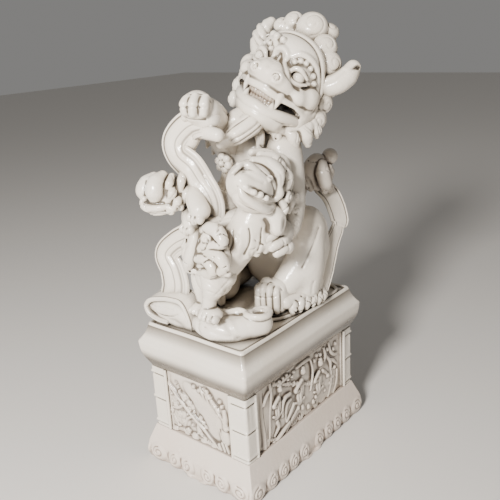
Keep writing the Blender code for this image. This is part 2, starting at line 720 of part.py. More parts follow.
def build_tail_and_sash():
    shape = bmesh.new()
    ball(shape, (80, -33, 256), (6.6, 6.6, 7))
    limb(shape, ((76, -30, 251), (67, -26, 254), (61, -24, 246), (63, -26, 234), (70, -30, 232),
                 (75, -32, 240)), (4.5, 6.5, 7, 7, 6.5, 6))
    limb(shape, ((60, -18, 242), (56, -14, 226), (58, -10, 210)), (7, 9, 10))
    modelled("tail", shape, 420, SHADED)
    shape = bmesh.new()
    strap(shape, ((64, -24, 234), (72, -32, 226), (76, -40, 212), (76, -45, 198)),
          (SASH_FACE,) * 4, (14, 18, 18, 14), 5)
    modelled("sash_band", shape, 200, voxel=1.4)
    shape = bmesh.new()
    strap(shape, ((72, -46, 193), (62, -47, 182), (52, -48, 168), (45, -49, 154), (41, -49, 144)),
          (SASH_FACE,) * 5, (12, 15, 15, 13, 11), 5)
    modelled("sash_drape", shape, 200, voxel=1.4)


def build_legs():
    shape = bmesh.new()
    for x, y in ((-8, -12), (-12, -21), (-14, -31), (-11, -40)):
        limb(shape, ((x + 6, y, 160), (x, y, 155), (x - 1, y, 143)), (4.5, 5.5, 5))
    ball(shape, (4, -27, 149), (15, 17, 13), turn=-12)
    modelled("hind_paw_left", shape, 360)

    shape = bmesh.new()
    for x, y in ((10, -46), (18, -48.5), (27, -50.5), (36, -51)):
        limb(shape, ((x, y + 3, 152), (x, y, 146), (x - 1, y - 0.5, 141)), (3, 4, 3.5))
    limb(shape, ((8, -42, 146), (34, -46, 146)), (4.5, 4.5))
    modelled("heel_tufts_left", shape, 220)

    shape = bmesh.new()
    limb(shape, ((30, -40, 206), (26, -41, 188), (24, -41, 170), (22, -38, 152)), (13, 14, 14, 14))
    limb(shape, ((20, -40, 172), (6, -33, 158), (-2, -26, 152)), (14, 12, 10))
    ball(shape, (24, -37, 147), (20, 9, 11), turn=-8)
    modelled("hind_leg_left", shape, 420)

    shape = bmesh.new()
    limb(shape, ((28, 38, 204), (20, 40, 184), (16, 38, 162), (2, 30, 148)), (14, 15, 15, 13))
    ball(shape, (-8, 26, 147), (14, 13, 12))
    ball(shape, (22, 36, 148), (22, 13, 13))
    modelled("hind_leg_right", shape, 420)

    shape = bmesh.new()
    ball(shape, (-22, -51, 214), (12, 9, 11), turn=20)
    for k in range(4):
        limb(shape, ((-24, -54 + k, 219 - 3.4 * k), (-34, -52 + k, 214 - 3.4 * k)), (4.2, 3.6))
    modelled("forepaw_left", shape, 260)

    shape = bmesh.new()
    limb(shape, ((8, -36, 270), (4, -42, 250), (2, -45, 232), (-6, -48, 220)), (15, 13, 11.5, 9.5))
    modelled("foreleg_left", shape, 300)

    shape = bmesh.new()
    ball(shape, (-55, -10, 317.5), (11.5, 13, 12.5))
    for y, z in ((3, 316), (-4, 313), (-12, 312), (-19, 314)):
        limb(shape, ((-59, y, z + 6), (-65, y, z), (-64, y, z - 6)), (4.5, 4.8, 4))
    modelled("forepaw_right", shape, 380)

    shape = bmesh.new()
    limb(shape, ((6, 10, 270), (-14, 8, 286), (-32, 0, 302), (-46, -6, 312)), (17, 13, 11, 10))
    modelled("foreleg_right", shape, 300)


def build_torso():
    shape = bmesh.new()
    limb(shape, ((38, 0, 205), (24, -4, 228), (10, -10, 250), (8, -14, 266)), (30, 29, 29, 25))
    ball(shape, (12, -22, 262), (20, 20, 20))
    limb(shape, ((12, -14, 270), (20, -22, 300)), (21, 18))
    modelled("chest", shape, 520)
    shape = bmesh.new()
    ball(shape, (46, 2, 172), (30, 40, 38))
    limb(shape, ((30, -38, 198), (50, -20, 180)), (15, 20))
    limb(shape, ((30, 34, 196), (50, 20, 180)), (15, 20))
    modelled("hips", shape, 420)


def centre_on_footprint():
    """Move every part so that the origin is the bottom middle of the whole statue's bounding box."""
    spans = [extent(thing) for thing in made]
    low = [min(span[i][0] for span in spans) for i in range(3)]
    high = [max(span[i][1] for span in spans) for i in range(3)]
    shift = Matrix.Translation((-(low[0] + high[0]) / 2, -(low[1] + high[1]) / 2, -low[2]))
    for thing in made:
        thing.data.transform(shift)


def build():
    clear_scene()
    build_plinth()
    build_head()
    build_mane()
    build_ornaments()
    build_ribbon()
    build_left_cub()
    build_front_cub()
    build_legs()
    build_tail_and_sash()
    build_torso()
    centre_on_footprint()


build()
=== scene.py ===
"""Looks of the foo dog statue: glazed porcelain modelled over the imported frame.

Every sculpted piece is a block of Clay: a grid of distances that balls, ropes, grooves and curls are
blended into or carved out of, skinned with quads. The ribbon, the sash and the cornice are swept rows.

Lengths are millimetres from the middle of the plinth's foot; quad_mesh turns them to metres in the frame
of the CAD. The lion faces -X, its left side is toward -Y, +Z is up. The head is modelled in its own space:
X to its right, Y forward, Z up.
"""

import math

import bpy
import numpy as np
from mathutils import Matrix, Vector


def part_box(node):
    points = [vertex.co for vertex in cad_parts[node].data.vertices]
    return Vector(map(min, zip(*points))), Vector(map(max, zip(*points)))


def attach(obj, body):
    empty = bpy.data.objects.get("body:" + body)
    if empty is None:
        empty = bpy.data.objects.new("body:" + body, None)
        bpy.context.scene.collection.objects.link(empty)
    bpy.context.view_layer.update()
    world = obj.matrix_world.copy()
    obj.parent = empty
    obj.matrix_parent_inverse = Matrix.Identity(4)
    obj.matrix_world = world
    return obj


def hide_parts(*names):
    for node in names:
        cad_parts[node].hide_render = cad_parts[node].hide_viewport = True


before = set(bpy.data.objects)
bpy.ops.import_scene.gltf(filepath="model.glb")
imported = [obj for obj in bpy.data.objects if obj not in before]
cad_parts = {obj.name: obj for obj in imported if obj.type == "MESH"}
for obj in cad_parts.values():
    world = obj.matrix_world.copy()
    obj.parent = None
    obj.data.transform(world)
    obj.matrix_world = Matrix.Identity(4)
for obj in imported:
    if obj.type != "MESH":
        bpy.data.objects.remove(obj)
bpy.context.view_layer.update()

MM = 0.001
FINE = 0.65       # grid step of the small modelled pieces
BROAD = 0.85      # grid step of the big plain ones
FAR = 9.0                                 # distance that an empty grid starts with
FEET = 134.6                              # height of the ground under the feet

plinth_low, plinth_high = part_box("base_moulding")
SHIFT = np.array([(plinth_low[0] + plinth_high[0]) / 2, (plinth_low[1] + plinth_high[1]) / 2, 0.0]) / MM

HEAD_AT = (27.0, -26.0, 326.5)
HEAD_FORWARD = (-0.909, -0.263, 0.322)
HEAD_UP = (0.394, -0.294, 0.871)


# ---------------------------------------------------------------- paths

def spline(points, per_span):
    """Catmull-Rom curve through a short list of given points (rows of any length)."""
    pts = np.array(points, float)
    ends = np.vstack([2 * pts[0] - pts[1], pts, 2 * pts[-1] - pts[-2]])
    out = []
    for a, b, c, d in zip(ends, ends[1:], ends[2:], ends[3:]):
        for t in np.arange(per_span) / per_span:
            out.append(0.5 * (2 * b + (c - a) * t + (2 * a - 5 * b + 4 * c - d) * t * t
                              + (3 * b - a - 3 * c + d) * t ** 3))
    out.append(pts[-1])
    return np.array(out)


def along(values, count):
    """Values spread evenly along a path, one for each of its count points."""
    values = np.atleast_1d(values)
    return np.interp(np.linspace(0, 1, count), np.linspace(0, 1, len(values)), values)


def unit(v):
    v = np.asarray(v, float)
    return v / np.linalg.norm(v, axis=-1, keepdims=True)


def space(at, forward, up):
    """Local frame: X to the figure's right, Y forward, Z up."""
    forward = unit(forward)
    up = unit(np.array(up) - forward * np.dot(up, forward))
    right = np.cross(forward, up)
    place = np.eye(4)
    place[:3, 0], place[:3, 1], place[:3, 2], place[:3, 3] = right, forward, up, at
    return place


def turned(turn, tilt):
    """Turn about Z, then tilt about the turned Y, in degrees."""
    a, b = math.radians(turn), math.radians(tilt)
    about_z = np.array([[math.cos(a), -math.sin(a), 0], [math.sin(a), math.cos(a), 0], [0, 0, 1]])
    about_y = np.array([[math.cos(b), 0, math.sin(b)], [0, 1, 0], [-math.sin(b), 0, math.cos(b)]])
    return about_z @ about_y


def facing(axis):
    """Rotation whose Z is the axis."""
    z = unit(axis)
    x = unit(np.cross((0.0, 1.0, 0.0) if abs(z[1]) < 0.9 else (1.0, 0.0, 0.0), z))
    return np.stack([x, np.cross(z, x), z], axis=1)


# ---------------------------------------------------------------- clay

def blend_min(a, b, soft):
    """Lesser of two distances, with a rounded seam soft wide between them."""
    gap = np.maximum(soft - np.abs(a - b), 0.0)
    return np.minimum(a, b) - gap * gap * (0.25 / soft)


CORNERS = [(i, j, k) for i in (0, 1) for j in (0, 1) for k in (0, 1)]       # of one grid cell
CREASES = ((1.3, 0.6), (4.0, 0.4))        # how far a crease is felt, and how much each reach counts


class Clay:
    """A block of clay: distances to the surface on a fine grid, negative inside."""

    def __init__(self, low, high, step=FINE, place=None):
        self.step = step
        self.low = np.array(low, float)
        self.size = np.ceil((np.array(high, float) - self.low) / step).astype(int) + 1
        self.field = np.full(self.size, FAR, np.float32)
        self.place = place

    def window(self, low, high, pad):
        """The part of the grid that a box and its pad cover, and the coordinates there."""
        a = np.maximum(np.floor((np.asarray(low) - pad - self.low) / self.step).astype(int), 1)
        b = np.minimum(np.ceil((np.asarray(high) + pad - self.low) / self.step).astype(int) + 1,
                       self.size - 1)
        if np.any(b <= a):
            return None, (None,) * 3
        axes = [self.low[i] + self.step * np.arange(a[i], b[i]) for i in range(3)]
        return tuple(slice(i, j) for i, j in zip(a, b)), np.ix_(*axes)

    def mix(self, cut, distance, soft, carve):
        """Blends a shape into the clay, or carves it away."""
        field = self.field[cut]
        if carve:
            field[...] = -blend_min(-field, distance, soft)
        else:
            field[...] = blend_min(field, distance, soft)

    def ball(self, at, radii, turn=0.0, tilt=0.0, axis=None, soft=2.0, carve=False):
        """Ellipsoid, added or carved away."""
        radii = radii if np.ndim(radii) else (radii,) * 3
        self.oval(at, facing(axis) if axis is not None else turned(turn, tilt), radii, soft, carve)

    def oval(self, at, spin, radii, soft, carve=False):
        """Ellipsoid whose axes are the columns of spin."""
        at, radii = np.array(at, float), np.array(radii, float)
        reach = np.sqrt(((spin * radii) ** 2).sum(axis=1))
        cut, (x, y, z) = self.window(at - reach, at + reach, soft + 5)
        if cut is None:
            return
        x, y, z = x - at[0], y - at[1], z - at[2]
        local = [x * spin[0, i] + y * spin[1, i] + z * spin[2, i] for i in range(3)]
        near = np.sqrt(sum((p / r) ** 2 for p, r in zip(local, radii)))
        slope = np.sqrt(sum((p / r ** 2) ** 2 for p, r in zip(local, radii))) + 1e-6
        self.mix(cut, near * (near - 1.0) / slope, soft, carve)

    def slab(self, low, high, edge=1.0, soft=1.0, carve=False):
        """Box with rounded edges, added or carved away."""
        low, high = np.array(low, float), np.array(high, float)
        cut, (x, y, z) = self.window(low, high, soft + 4)
        if cut is None:
            return
        gaps = [np.abs(p - m) - h for p, m, h in zip((x, y, z), (low + high) / 2, (high - low) / 2 - edge)]
        outside = np.sqrt(sum(np.maximum(g, 0.0) ** 2 for g in gaps))
        inside = np.minimum(np.maximum(np.maximum(gaps[0], gaps[1]), gaps[2]), 0.0)
        self.mix(cut, outside + inside - edge, soft, carve)

    def rope(self, points, radii, soft=1.5, carve=False, per_span=5, snap=None):
        """Round rope through the points, added or carved away; snap lays it on the surface first."""
        path = spline(points, per_span) if len(points) > 1 else np.array(points, float)
        if snap is not None:
            path = self.snap(path, snap)
        sizes = along(radii, len(path))
        low = (path - sizes[:, None]).min(axis=0)
        high = (path + sizes[:, None]).max(axis=0)
        cut, grid = self.window(low, high, soft + 4)
        if cut is None:
            return
        x, y, z = (g.astype(np.float32) for g in grid)
        best = np.full((x.size, y.size, z.size), 99.0, np.float32)
        start = np.array([x.flat[0], y.flat[0], z.flat[0]])
        for a, b, ra, rb in zip(path, path[1:], sizes, sizes[1:]):
            pad = max(ra, rb) + soft + 4
            i = np.maximum(np.floor((np.minimum(a, b) - pad - start) / self.step).astype(int), 0)
            j = np.minimum(np.ceil((np.maximum(a, b) + pad - start) / self.step).astype(int) + 1, best.shape)
            if np.any(j <= i):
                continue
            part = best[i[0]:j[0], i[1]:j[1], i[2]:j[2]]
            px, py, pz = x[i[0]:j[0]] - a[0], y[:, i[1]:j[1]] - a[1], z[:, :, i[2]:j[2]] - a[2]
            d = b - a
            t = np.clip((px * d[0] + py * d[1] + pz * d[2]) / max(d @ d, 1e-9), 0.0, 1.0)
            gap = np.sqrt((px - t * d[0]) ** 2 + (py - t * d[1]) ** 2 + (pz - t * d[2]) ** 2)
            np.minimum(part, gap - (ra + (rb - ra) * t), out=part)
        self.mix(cut, best, soft, carve)

    def groove(self, points, radius=1.0, depth=0.8, soft=0.8, per_span=5):
        """Line pressed into the surface."""
        self.rope(points, radius, soft, True, per_span, snap=radius - depth)

    def ridge(self, points, radius=1.2, rise=0.9, soft=0.8, per_span=5):
        """Roll of clay laid on the surface."""
        self.rope(points, radius, soft, False, per_span, snap=np.max(rise) - np.max(radius))

    def curl(self, at, axis, radius, turns=1.3, start=0.0, hand=1, depth=1.0, flat=0.62, soft=1.6, line=0.9):
        """Bulb of hair with a spiral line wound into its outer face."""
        spin = facing(axis)
        self.ball(at, (radius, radius, radius * flat), axis=axis, soft=soft)
        steps = np.linspace(0.0, 1.0, 14)
        angle = math.radians(start) + hand * math.tau * turns * steps
        reach = radius * (0.80 - 0.58 * steps)
        rise = radius * flat * np.sqrt(1.0 - (reach / radius) ** 2)
        local = np.stack([reach * np.cos(angle), reach * np.sin(angle), rise], axis=1)
        self.rope(np.array(at) + local @ spin.T, (line * 0.7, line, line * 0.8),
                  0.6, True, 3, snap=line - depth)

    def probe(self, points):
        """Distance and slope at some places, read off the grid."""
        cell = (np.asarray(points) - self.low) / self.step
        cell = np.clip(cell, 1.0, self.size - 2.001)
        base = cell.astype(int)
        f = cell - base
        value = np.zeros(len(cell))
        slope = np.zeros((len(cell), 3))
        for i, j, k in CORNERS:
            corner = self.field[base[:, 0] + i, base[:, 1] + j, base[:, 2] + k]
            wx, wy, wz = (f[:, axis] if o else 1 - f[:, axis] for axis, o in enumerate((i, j, k)))
            value += corner * wx * wy * wz
            slope[:, 0] += corner * (1 if i else -1) * wy * wz
            slope[:, 1] += corner * (1 if j else -1) * wx * wz
            slope[:, 2] += corner * (1 if k else -1) * wx * wy
        return value, slope / self.step

    def trim(self, top):
        """Cuts off what hangs below the ground that a piece stands on."""
        self.slab((-99, -99, 100), (99, 99, top), 0.1, 0.1, True)

    def snap(self, points, lift=0.0):
        """Points moved onto the surface, or lift above it."""
        points = np.array(points, float)
        for _ in range(6):
            value, slope = self.probe(points)
            scale = np.maximum((slope ** 2).sum(axis=1), 0.2)
            points = points - slope * ((value - lift) / scale)[:, None]
        return points

    def crease_map(self, cells, spots):
        """How closed-in the surface is at its vertices: 0 on a rounded edge, 0.5 flat, 1 in a deep fold."""
        total = np.zeros(len(cells))
        for reach, weight in CREASES:
            n = max(1, int(round(reach / self.step)))
            full = np.clip(0.5 - self.field / self.step, 0.0, 1.0)
            for axis in range(3):
                sums = np.cumsum(full, axis=axis)
                width = sums.shape[axis]
                up = np.minimum(np.arange(width) + n, width - 1)
                down = np.arange(width) - n - 1
                high = np.take(sums, up, axis=axis)
                low = np.take(sums, np.maximum(down, 0), axis=axis)
                shape = [1, 1, 1]
                shape[axis] = width
                low = low * (down >= 0).reshape(shape)
                full = (high - low) / (2 * n + 1)
            for corner in CORNERS:
                share = np.prod(np.where(np.array(corner) == 1, spots, 1.0 - spots), axis=1)
                total += weight * share * full[cells[:, 0] + corner[0], cells[:, 1] + corner[1],
                                               cells[:, 2] + corner[2]]
        return total

    def skin(self, name):
        """Quads over the zero surface, one vertex in each cell that the surface crosses."""
        field = self.field
        solid = field < 0
        n = np.array(field.shape) - 1
        count = np.zeros(n, np.int8)
        for i, j, k in CORNERS:
            count += solid[i:i + n[0], j:j + n[1], k:k + n[2]]
        cells = np.argwhere((count > 0) & (count < 8))
        index = np.full(n, -1, np.int64)
        index[cells[:, 0], cells[:, 1], cells[:, 2]] = np.arange(len(cells))
        value = {o: field[cells[:, 0] + o[0], cells[:, 1] + o[1], cells[:, 2] + o[2]] for o in CORNERS}
        total = np.zeros((len(cells), 3))
        crossings = np.zeros(len(cells))
        for o in CORNERS:
            for axis in range(3):
                if o[axis] == 1:
                    continue
                other = tuple(1 if a == axis else o[a] for a in range(3))
                a, b = value[o], value[other]
                crosses = (a < 0) != (b < 0)
                t = np.where(crosses, a / np.where(crosses, a - b, 1.0), 0.0)
                spot = np.array(o, float) + t[:, None] * (np.array(other) - np.array(o))
                total += spot * crosses[:, None]
                crossings += crosses
        spots = total / crossings[:, None]
        points = self.low + self.step * (cells + spots)
        faces = []
        for axis in range(3):
            u, v = (axis + 1) % 3, (axis + 2) % 3
            first = solid.take(np.arange(n[axis]), axis=axis)
            second = solid.take(np.arange(1, n[axis] + 1), axis=axis)
            at = np.argwhere(first != second)
            at = at[(at[:, u] > 0) & (at[:, v] > 0) & (at[:, u] < n[u]) & (at[:, v] < n[v])]
            out = first[at[:, 0], at[:, 1], at[:, 2]]
            ring = []
            for du, dv in ((0, 0), (1, 0), (1, 1), (0, 1)):
                shift = at.copy()
                shift[:, u] -= du
                shift[:, v] -= dv
                ring.append(index[shift[:, 0], shift[:, 1], shift[:, 2]])
            ring = np.stack(ring, axis=1)
            ring[~out] = ring[~out][:, ::-1]
            faces.append(ring)
        faces = np.vstack(faces)
        crease = neighbour_mean(self.crease_map(cells, spots), faces)
        if self.place is not None:
            points = points @ self.place[:3, :3].T + self.place[:3, 3]
        return quad_mesh(name, points, faces, crease)


def neighbour_mean(values, faces):
    """Each vertex takes the mean of the faces around it."""
    total = np.zeros(len(values))
    count = np.zeros(len(values))
    each = values[faces].mean(axis=1)
    for k in range(4):
        np.add.at(total, faces[:, k], each)
        np.add.at(count, faces[:, k], 1.0)
    return total / np.maximum(count, 1.0)


def quad_mesh(name, points, faces, crease):
    """Smooth mesh in metres, with the crease values that the glaze reads."""
    mesh = bpy.data.meshes.new(name)
    mesh.vertices.add(len(points))
    mesh.vertices.foreach_set("co", ((np.asarray(points) + SHIFT) * MM).astype(np.float32).ravel())
    mesh.loops.add(faces.size)
    mesh.loops.foreach_set("vertex_index", faces.astype(np.int32).ravel())
    mesh.polygons.add(len(faces))
    mesh.polygons.foreach_set("loop_start", np.arange(0, faces.size, faces.shape[1], dtype=np.int32))
    mesh.update(calc_edges=True)
    mesh.validate()
    layer = mesh.attributes.new("crease", "FLOAT", "POINT")
    layer.data.foreach_set("value", crease.astype(np.float32))
    mesh.shade_smooth()
    return mesh


# ---------------------------------------------------------------- glaze

def glaze(name, clear, pooled_and_shaded, pool_and_shade=(0.512, 0.59), rough=(0.16, 0.32), speck=0.0):
    """Clear glossy glaze over porcelain: darker where it pools in creases, with painted shade in creases and
    in nooks between pieces, faint mottling, ripple and pinholes.
    """
    material = bpy.data.materials.new(name)
    material.use_nodes = True
    tree = material.node_tree

    def fill(node, inputs):
        for key, value in inputs.items():
            if isinstance(value, bpy.types.NodeSocket):
                tree.links.new(value, node.inputs[key])
            else:
                node.inputs[key].default_value = value

    def add(kind, inputs, out, **settings):
        """New node with its settings and inputs; gives back one of its outputs."""
        node = tree.nodes.new("ShaderNode" + kind)
        for key, value in settings.items():
            setattr(node, key, value)
        fill(node, inputs)
        return node.outputs[out]

    place = add("TexCoord", {}, "Object")
    mottle = add("TexNoise", {"Vector": place, "Scale": 55.0, "Detail": 4.0}, "Fac")
    cloud = add("TexNoise", {"Vector": place, "Scale": 16.0, "Detail": 3.0}, "Fac")
    waves = add("TexNoise", {"Vector": place, "Scale": 260.0, "Detail": 2.0}, "Fac")

    # Darker colour in modelled creases and in nooks between pieces, unevenly: glaze pooled in the creases,
    # and painted shade in creases and nooks.
    crease = add("Attribute", {}, "Fac", attribute_name="crease")
    fold = add("MapRange", {"Value": crease, "From Min": pool_and_shade[0], "From Max": pool_and_shade[1]},
               "Result", interpolation_type="SMOOTHSTEP")
    # Painted shade: ambient occlusion darkens the colour where pieces close in on each other.
    nook_shade = add("AmbientOcclusion", {"Distance": 0.014}, "AO", samples=6)
    nook_shade = add("MapRange", {"Value": nook_shade, "From Min": 0.74, "From Max": 0.10}, "Result")
    deeper = add("Math", {0: fold, 1: nook_shade}, "Value", operation="MAXIMUM")
    uneven = add("Math", {0: mottle, 1: 0.30, 2: 0.80}, "Value", operation="MULTIPLY_ADD")
    pooling_and_shade = add("Math", {0: deeper, 1: uneven}, "Value", operation="MULTIPLY", use_clamp=True)

    tone = tree.nodes.new("ShaderNodeValToRGB")
    tree.links.new(pooling_and_shade, tone.inputs["Fac"])
    ramp = tone.color_ramp.elements
    ramp[0].color = (*clear, 1.0)
    ramp[1].color = (*pooled_and_shaded, 1.0)
    ramp.new(0.40).color = (*[c * 0.45 + p * 0.55 for c, p in zip(clear, pooled_and_shaded)], 1.0)

    cloudy = add("MapRange", {"Value": cloud, "From Min": 0.42, "From Max": 0.72, "To Max": 0.6}, "Result")
    colour = add("Mix", {"Factor": cloudy, "A": tone.outputs["Color"], "B": (0.93, 0.885, 0.83, 1.0)},
                 "Result", data_type="RGBA", blend_type="MULTIPLY")
    if speck > 0.0:
        cells = add("TexVoronoi", {"Vector": place, "Scale": 75.0}, "Distance")
        dot = add("MapRange", {"Value": cells, "From Min": speck, "From Max": speck * 0.5}, "Result")
        colour = add("Mix", {"Factor": dot, "A": colour, "B": (0.16, 0.12, 0.09, 1.0)},
                     "Result", data_type="RGBA")

    gloss = add("MapRange", {"Value": mottle, "To Min": rough[0], "To Max": rough[1]}, "Result")
    ripple = add("Bump", {"Height": waves, "Strength": 0.45, "Distance": 0.0006}, "Normal")
    fill(tree.nodes["Principled BSDF"], {
        "Base Color": colour, "Roughness": gloss, "Normal": ripple, "Coat Normal": ripple,
        "IOR": 1.5, "Coat Weight": 0.25, "Coat Roughness": 0.06})
    return material


# Second colour of each glaze: the glaze pooled in creases, darkened further as painted shade in creases and
# nooks.
WHITE = glaze("white_glaze", (0.80, 0.735, 0.64), (0.085, 0.066, 0.045))
ROSY = glaze("rosy_glaze", (0.74, 0.645, 0.56), (0.17, 0.12, 0.09), rough=(0.16, 0.34), speck=0.03)
# Painted shade: the tail's glaze is a darker copy of the white.
SHADED_BROWN = glaze("pooled_glaze", (0.56, 0.50, 0.43), (0.12, 0.09, 0.07))
RELIEF = glaze("relief_glaze", (0.70, 0.62, 0.53), (0.10, 0.075, 0.055), (0.49, 0.585), (0.2, 0.36))
DARK = glaze("unlit_mouth", (0.03, 0.024, 0.02), (0.01, 0.008, 0.007), rough=(0.5, 0.7))
# Painted shade: the teeth are glazed a darker copy of the white, for the shade inside the mouth.
TOOTH = glaze("shaded_tooth_glaze", (0.50, 0.42, 0.34), (0.10, 0.07, 0.05))


def piece(mesh, *nodes, material=WHITE, slot="white_glaze"):
    """A finished visual piece that stands for some CAD nodes."""
    thing = bpy.data.objects.new(mesh.name, mesh)
    bpy.context.scene.collection.objects.link(thing)
    mesh.materials.append(material)
    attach(thing, "root")
    if nodes:
        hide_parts(*nodes)


# ---------------------------------------------------------------- head

HEAD = space(HEAD_AT, HEAD_FORWARD, HEAD_UP)
ROLL = 0.10                # the face is set slightly askew: its left side hangs lower


def face(side, x, y, z):
    """A place on the right (1) or left (-1) half of the face."""
    return (side * x, y, z + ROLL * side * x)


def half(side, *points):
    """A line on one half of the face."""
    return [face(side, *p) for p in points]


def arch(points):
    """A symmetric line across the face, from left to right; points are its right half, middle first."""
    return half(-1, *points[:0:-1]) + half(1, *points)


def make_head():
    clay = Clay((-46, -36, -46), (46, 58, 50), place=HEAD)
    clay.ball((0, 0, 3), (32, 28, 32))
    clay.ball((-1, 9, 20), (25, 21, 17), soft=8)
    clay.ball((0, 24, -5), (24, 17, 11.5), tilt=-6, soft=5)
    clay.ball((0, 34, -3), (18.5, 10.5, 9), tilt=-6, soft=5)
    clay.ball((0, 29, 2.0), (14, 13, 7.6), soft=5)
    for side in (1, -1):
        clay.ball(face(side, 30, 13, -3), (7.5, 9, 8.5), soft=2)
        clay.ball(face(side, 24.5, 22, -7), (7, 7.5, 7), soft=4)
        clay.ball(face(side, 29, 4, -18), (6, 12, 12), soft=6)
        clay.rope(half(side, (27, 20, -15), (31, 12, -17), (33.5, 4, -13), (33.5, 2, -5)),
                  (2.0, 3.0, 3.0, 1.8), 2)
        clay.ball(face(side, 8.6, 39, -3.0), (6.6, 5.8, 5.4), soft=2)
    clay.rope(arch([(0, 39, -14), (9, 37, -14.5), (19, 29, -14.5), (27, 17, -14)]), 2.8, 3)
    clay.rope(arch([(0, 34, -20), (10, 32, -20), (19, 26, -20), (27, 14, -17.5)]),
              (4.0, 5.0, 4.6, 4.4, 4.6, 5.0, 4.4), 1, True)
    clay.ball((0, 12, -21), (22, 22, 6.5), tilt=-6, carve=True, soft=1)
    for side in (1, -1):
        clay.ball(face(side, 18.3, 27.5, 6.2), (7.0, 5.2, 6.0), soft=3, carve=True)
        clay.rope(half(side, (15, 33.5, -13), (15.4, 33.5, -18), (15, 33, -23)), (3.0, 2.1, 0.7), 1.2)
        clay.rope(half(side, (11.5, 28.5, 6.5), (14.5, 29, 10.8), (19.5, 27.6, 11.8), (24.5, 22.5, 8.6)),
                  (1.4, 2.1, 2.1, 1.3), 1.2)
        clay.rope(half(side, (12, 29, 5), (16, 29.6, 1.6), (21, 27, 1.6), (25.5, 21.5, 4.6)),
                  (1.2, 1.7, 1.7, 1.2), 1.5)
        clay.groove(half(side, (3.5, 33, 12), (7, 35, 8), (12, 37, 3.5), (18, 33, 0), (23.5, 27, -1.5)),
                    2.0, 1.5, 1.5)
        for x, y, z in ((10.5, 25, 15.5), (14.5, 25, 18), (19, 24, 18.6), (23, 21, 17), (26.5, 17, 13.5),
                        (28.5, 14, 9)):
            clay.ball(clay.snap([face(side, x, y, z)], 0.3)[0], 2.1, soft=0.9)
        clay.ridge(half(side, (7, 26, 18), (12, 25, 22), (20, 21, 22.5), (26.5, 15, 19), (30, 9, 13)),
                   (1.2, 2.4, 2.6, 2.4, 1.4), 1.8, 1.2)
        clay.curl(face(side, 9.6, 42.0, -2.8), (side * 0.35, 1.0, 0.2), 4.6, 1.15, 90, side, 1.4, 0.55, 1.6,
                  0.9)
        clay.ball(face(side, 8.6, 45.4, -5.4), 1.1, carve=True, soft=0.6)
        clay.groove(half(side, (21, 31, -10), (25, 27, -11.5), (30, 19, -11), (34, 10, -8)), 1.4, 0.9, 1.2)
    for x, y, z, r in ((11, 24, 25, 3.2), (17.5, 20, 25, 3.2), (23, 15, 22.5, 3.0), (4.5, 26, 24.5, 2.6)):
        clay.ball(clay.snap([(x, y, z)], 0.5)[0], r, soft=0.8)
    clay.ridge([(7.5, 30, 11.5), (6.5, 31, 17), (1, 31, 19.5), (-4.5, 31, 16), (-5.5, 32, 11), (-9, 34, 6.5)],
               (1.4, 2.2, 2.4, 2.2, 1.8, 1.0), 1.8, 1.0)
    clay.groove([(3.5, 31, 12.5), (1.5, 31, 15), (-1, 31.5, 12)], 1.2, 1.0, 0.8)
    clay.groove([(0, 33, 9), (0, 38, 6.5), (0, 43, 2.5)], 2.2, 0.7, 2.0)
    clay.ridge([(33, -6, -10), (32, 0, 2), (30, 6, 14), (24, 12, 25), (13, 17, 33), (0, 19, 36),
                (-14, 17, 33), (-24, 12.5, 24.5), (-30, 6.5, 13), (-32.5, 0.5, 1), (-33, -3, -10)],
               3.0, 1.5, 1.6, 4)
    clay.groove([(31, 3, 5), (29.5, 8.5, 14), (23, 15, 24), (12.5, 20, 31.5), (0, 22, 34), (-13.5, 20, 31),
                 (-23, 15.5, 23), (-29.5, 9, 12.5), (-32, 3, 1)], 1.1, 0.6, 1.0, 4)
    return clay


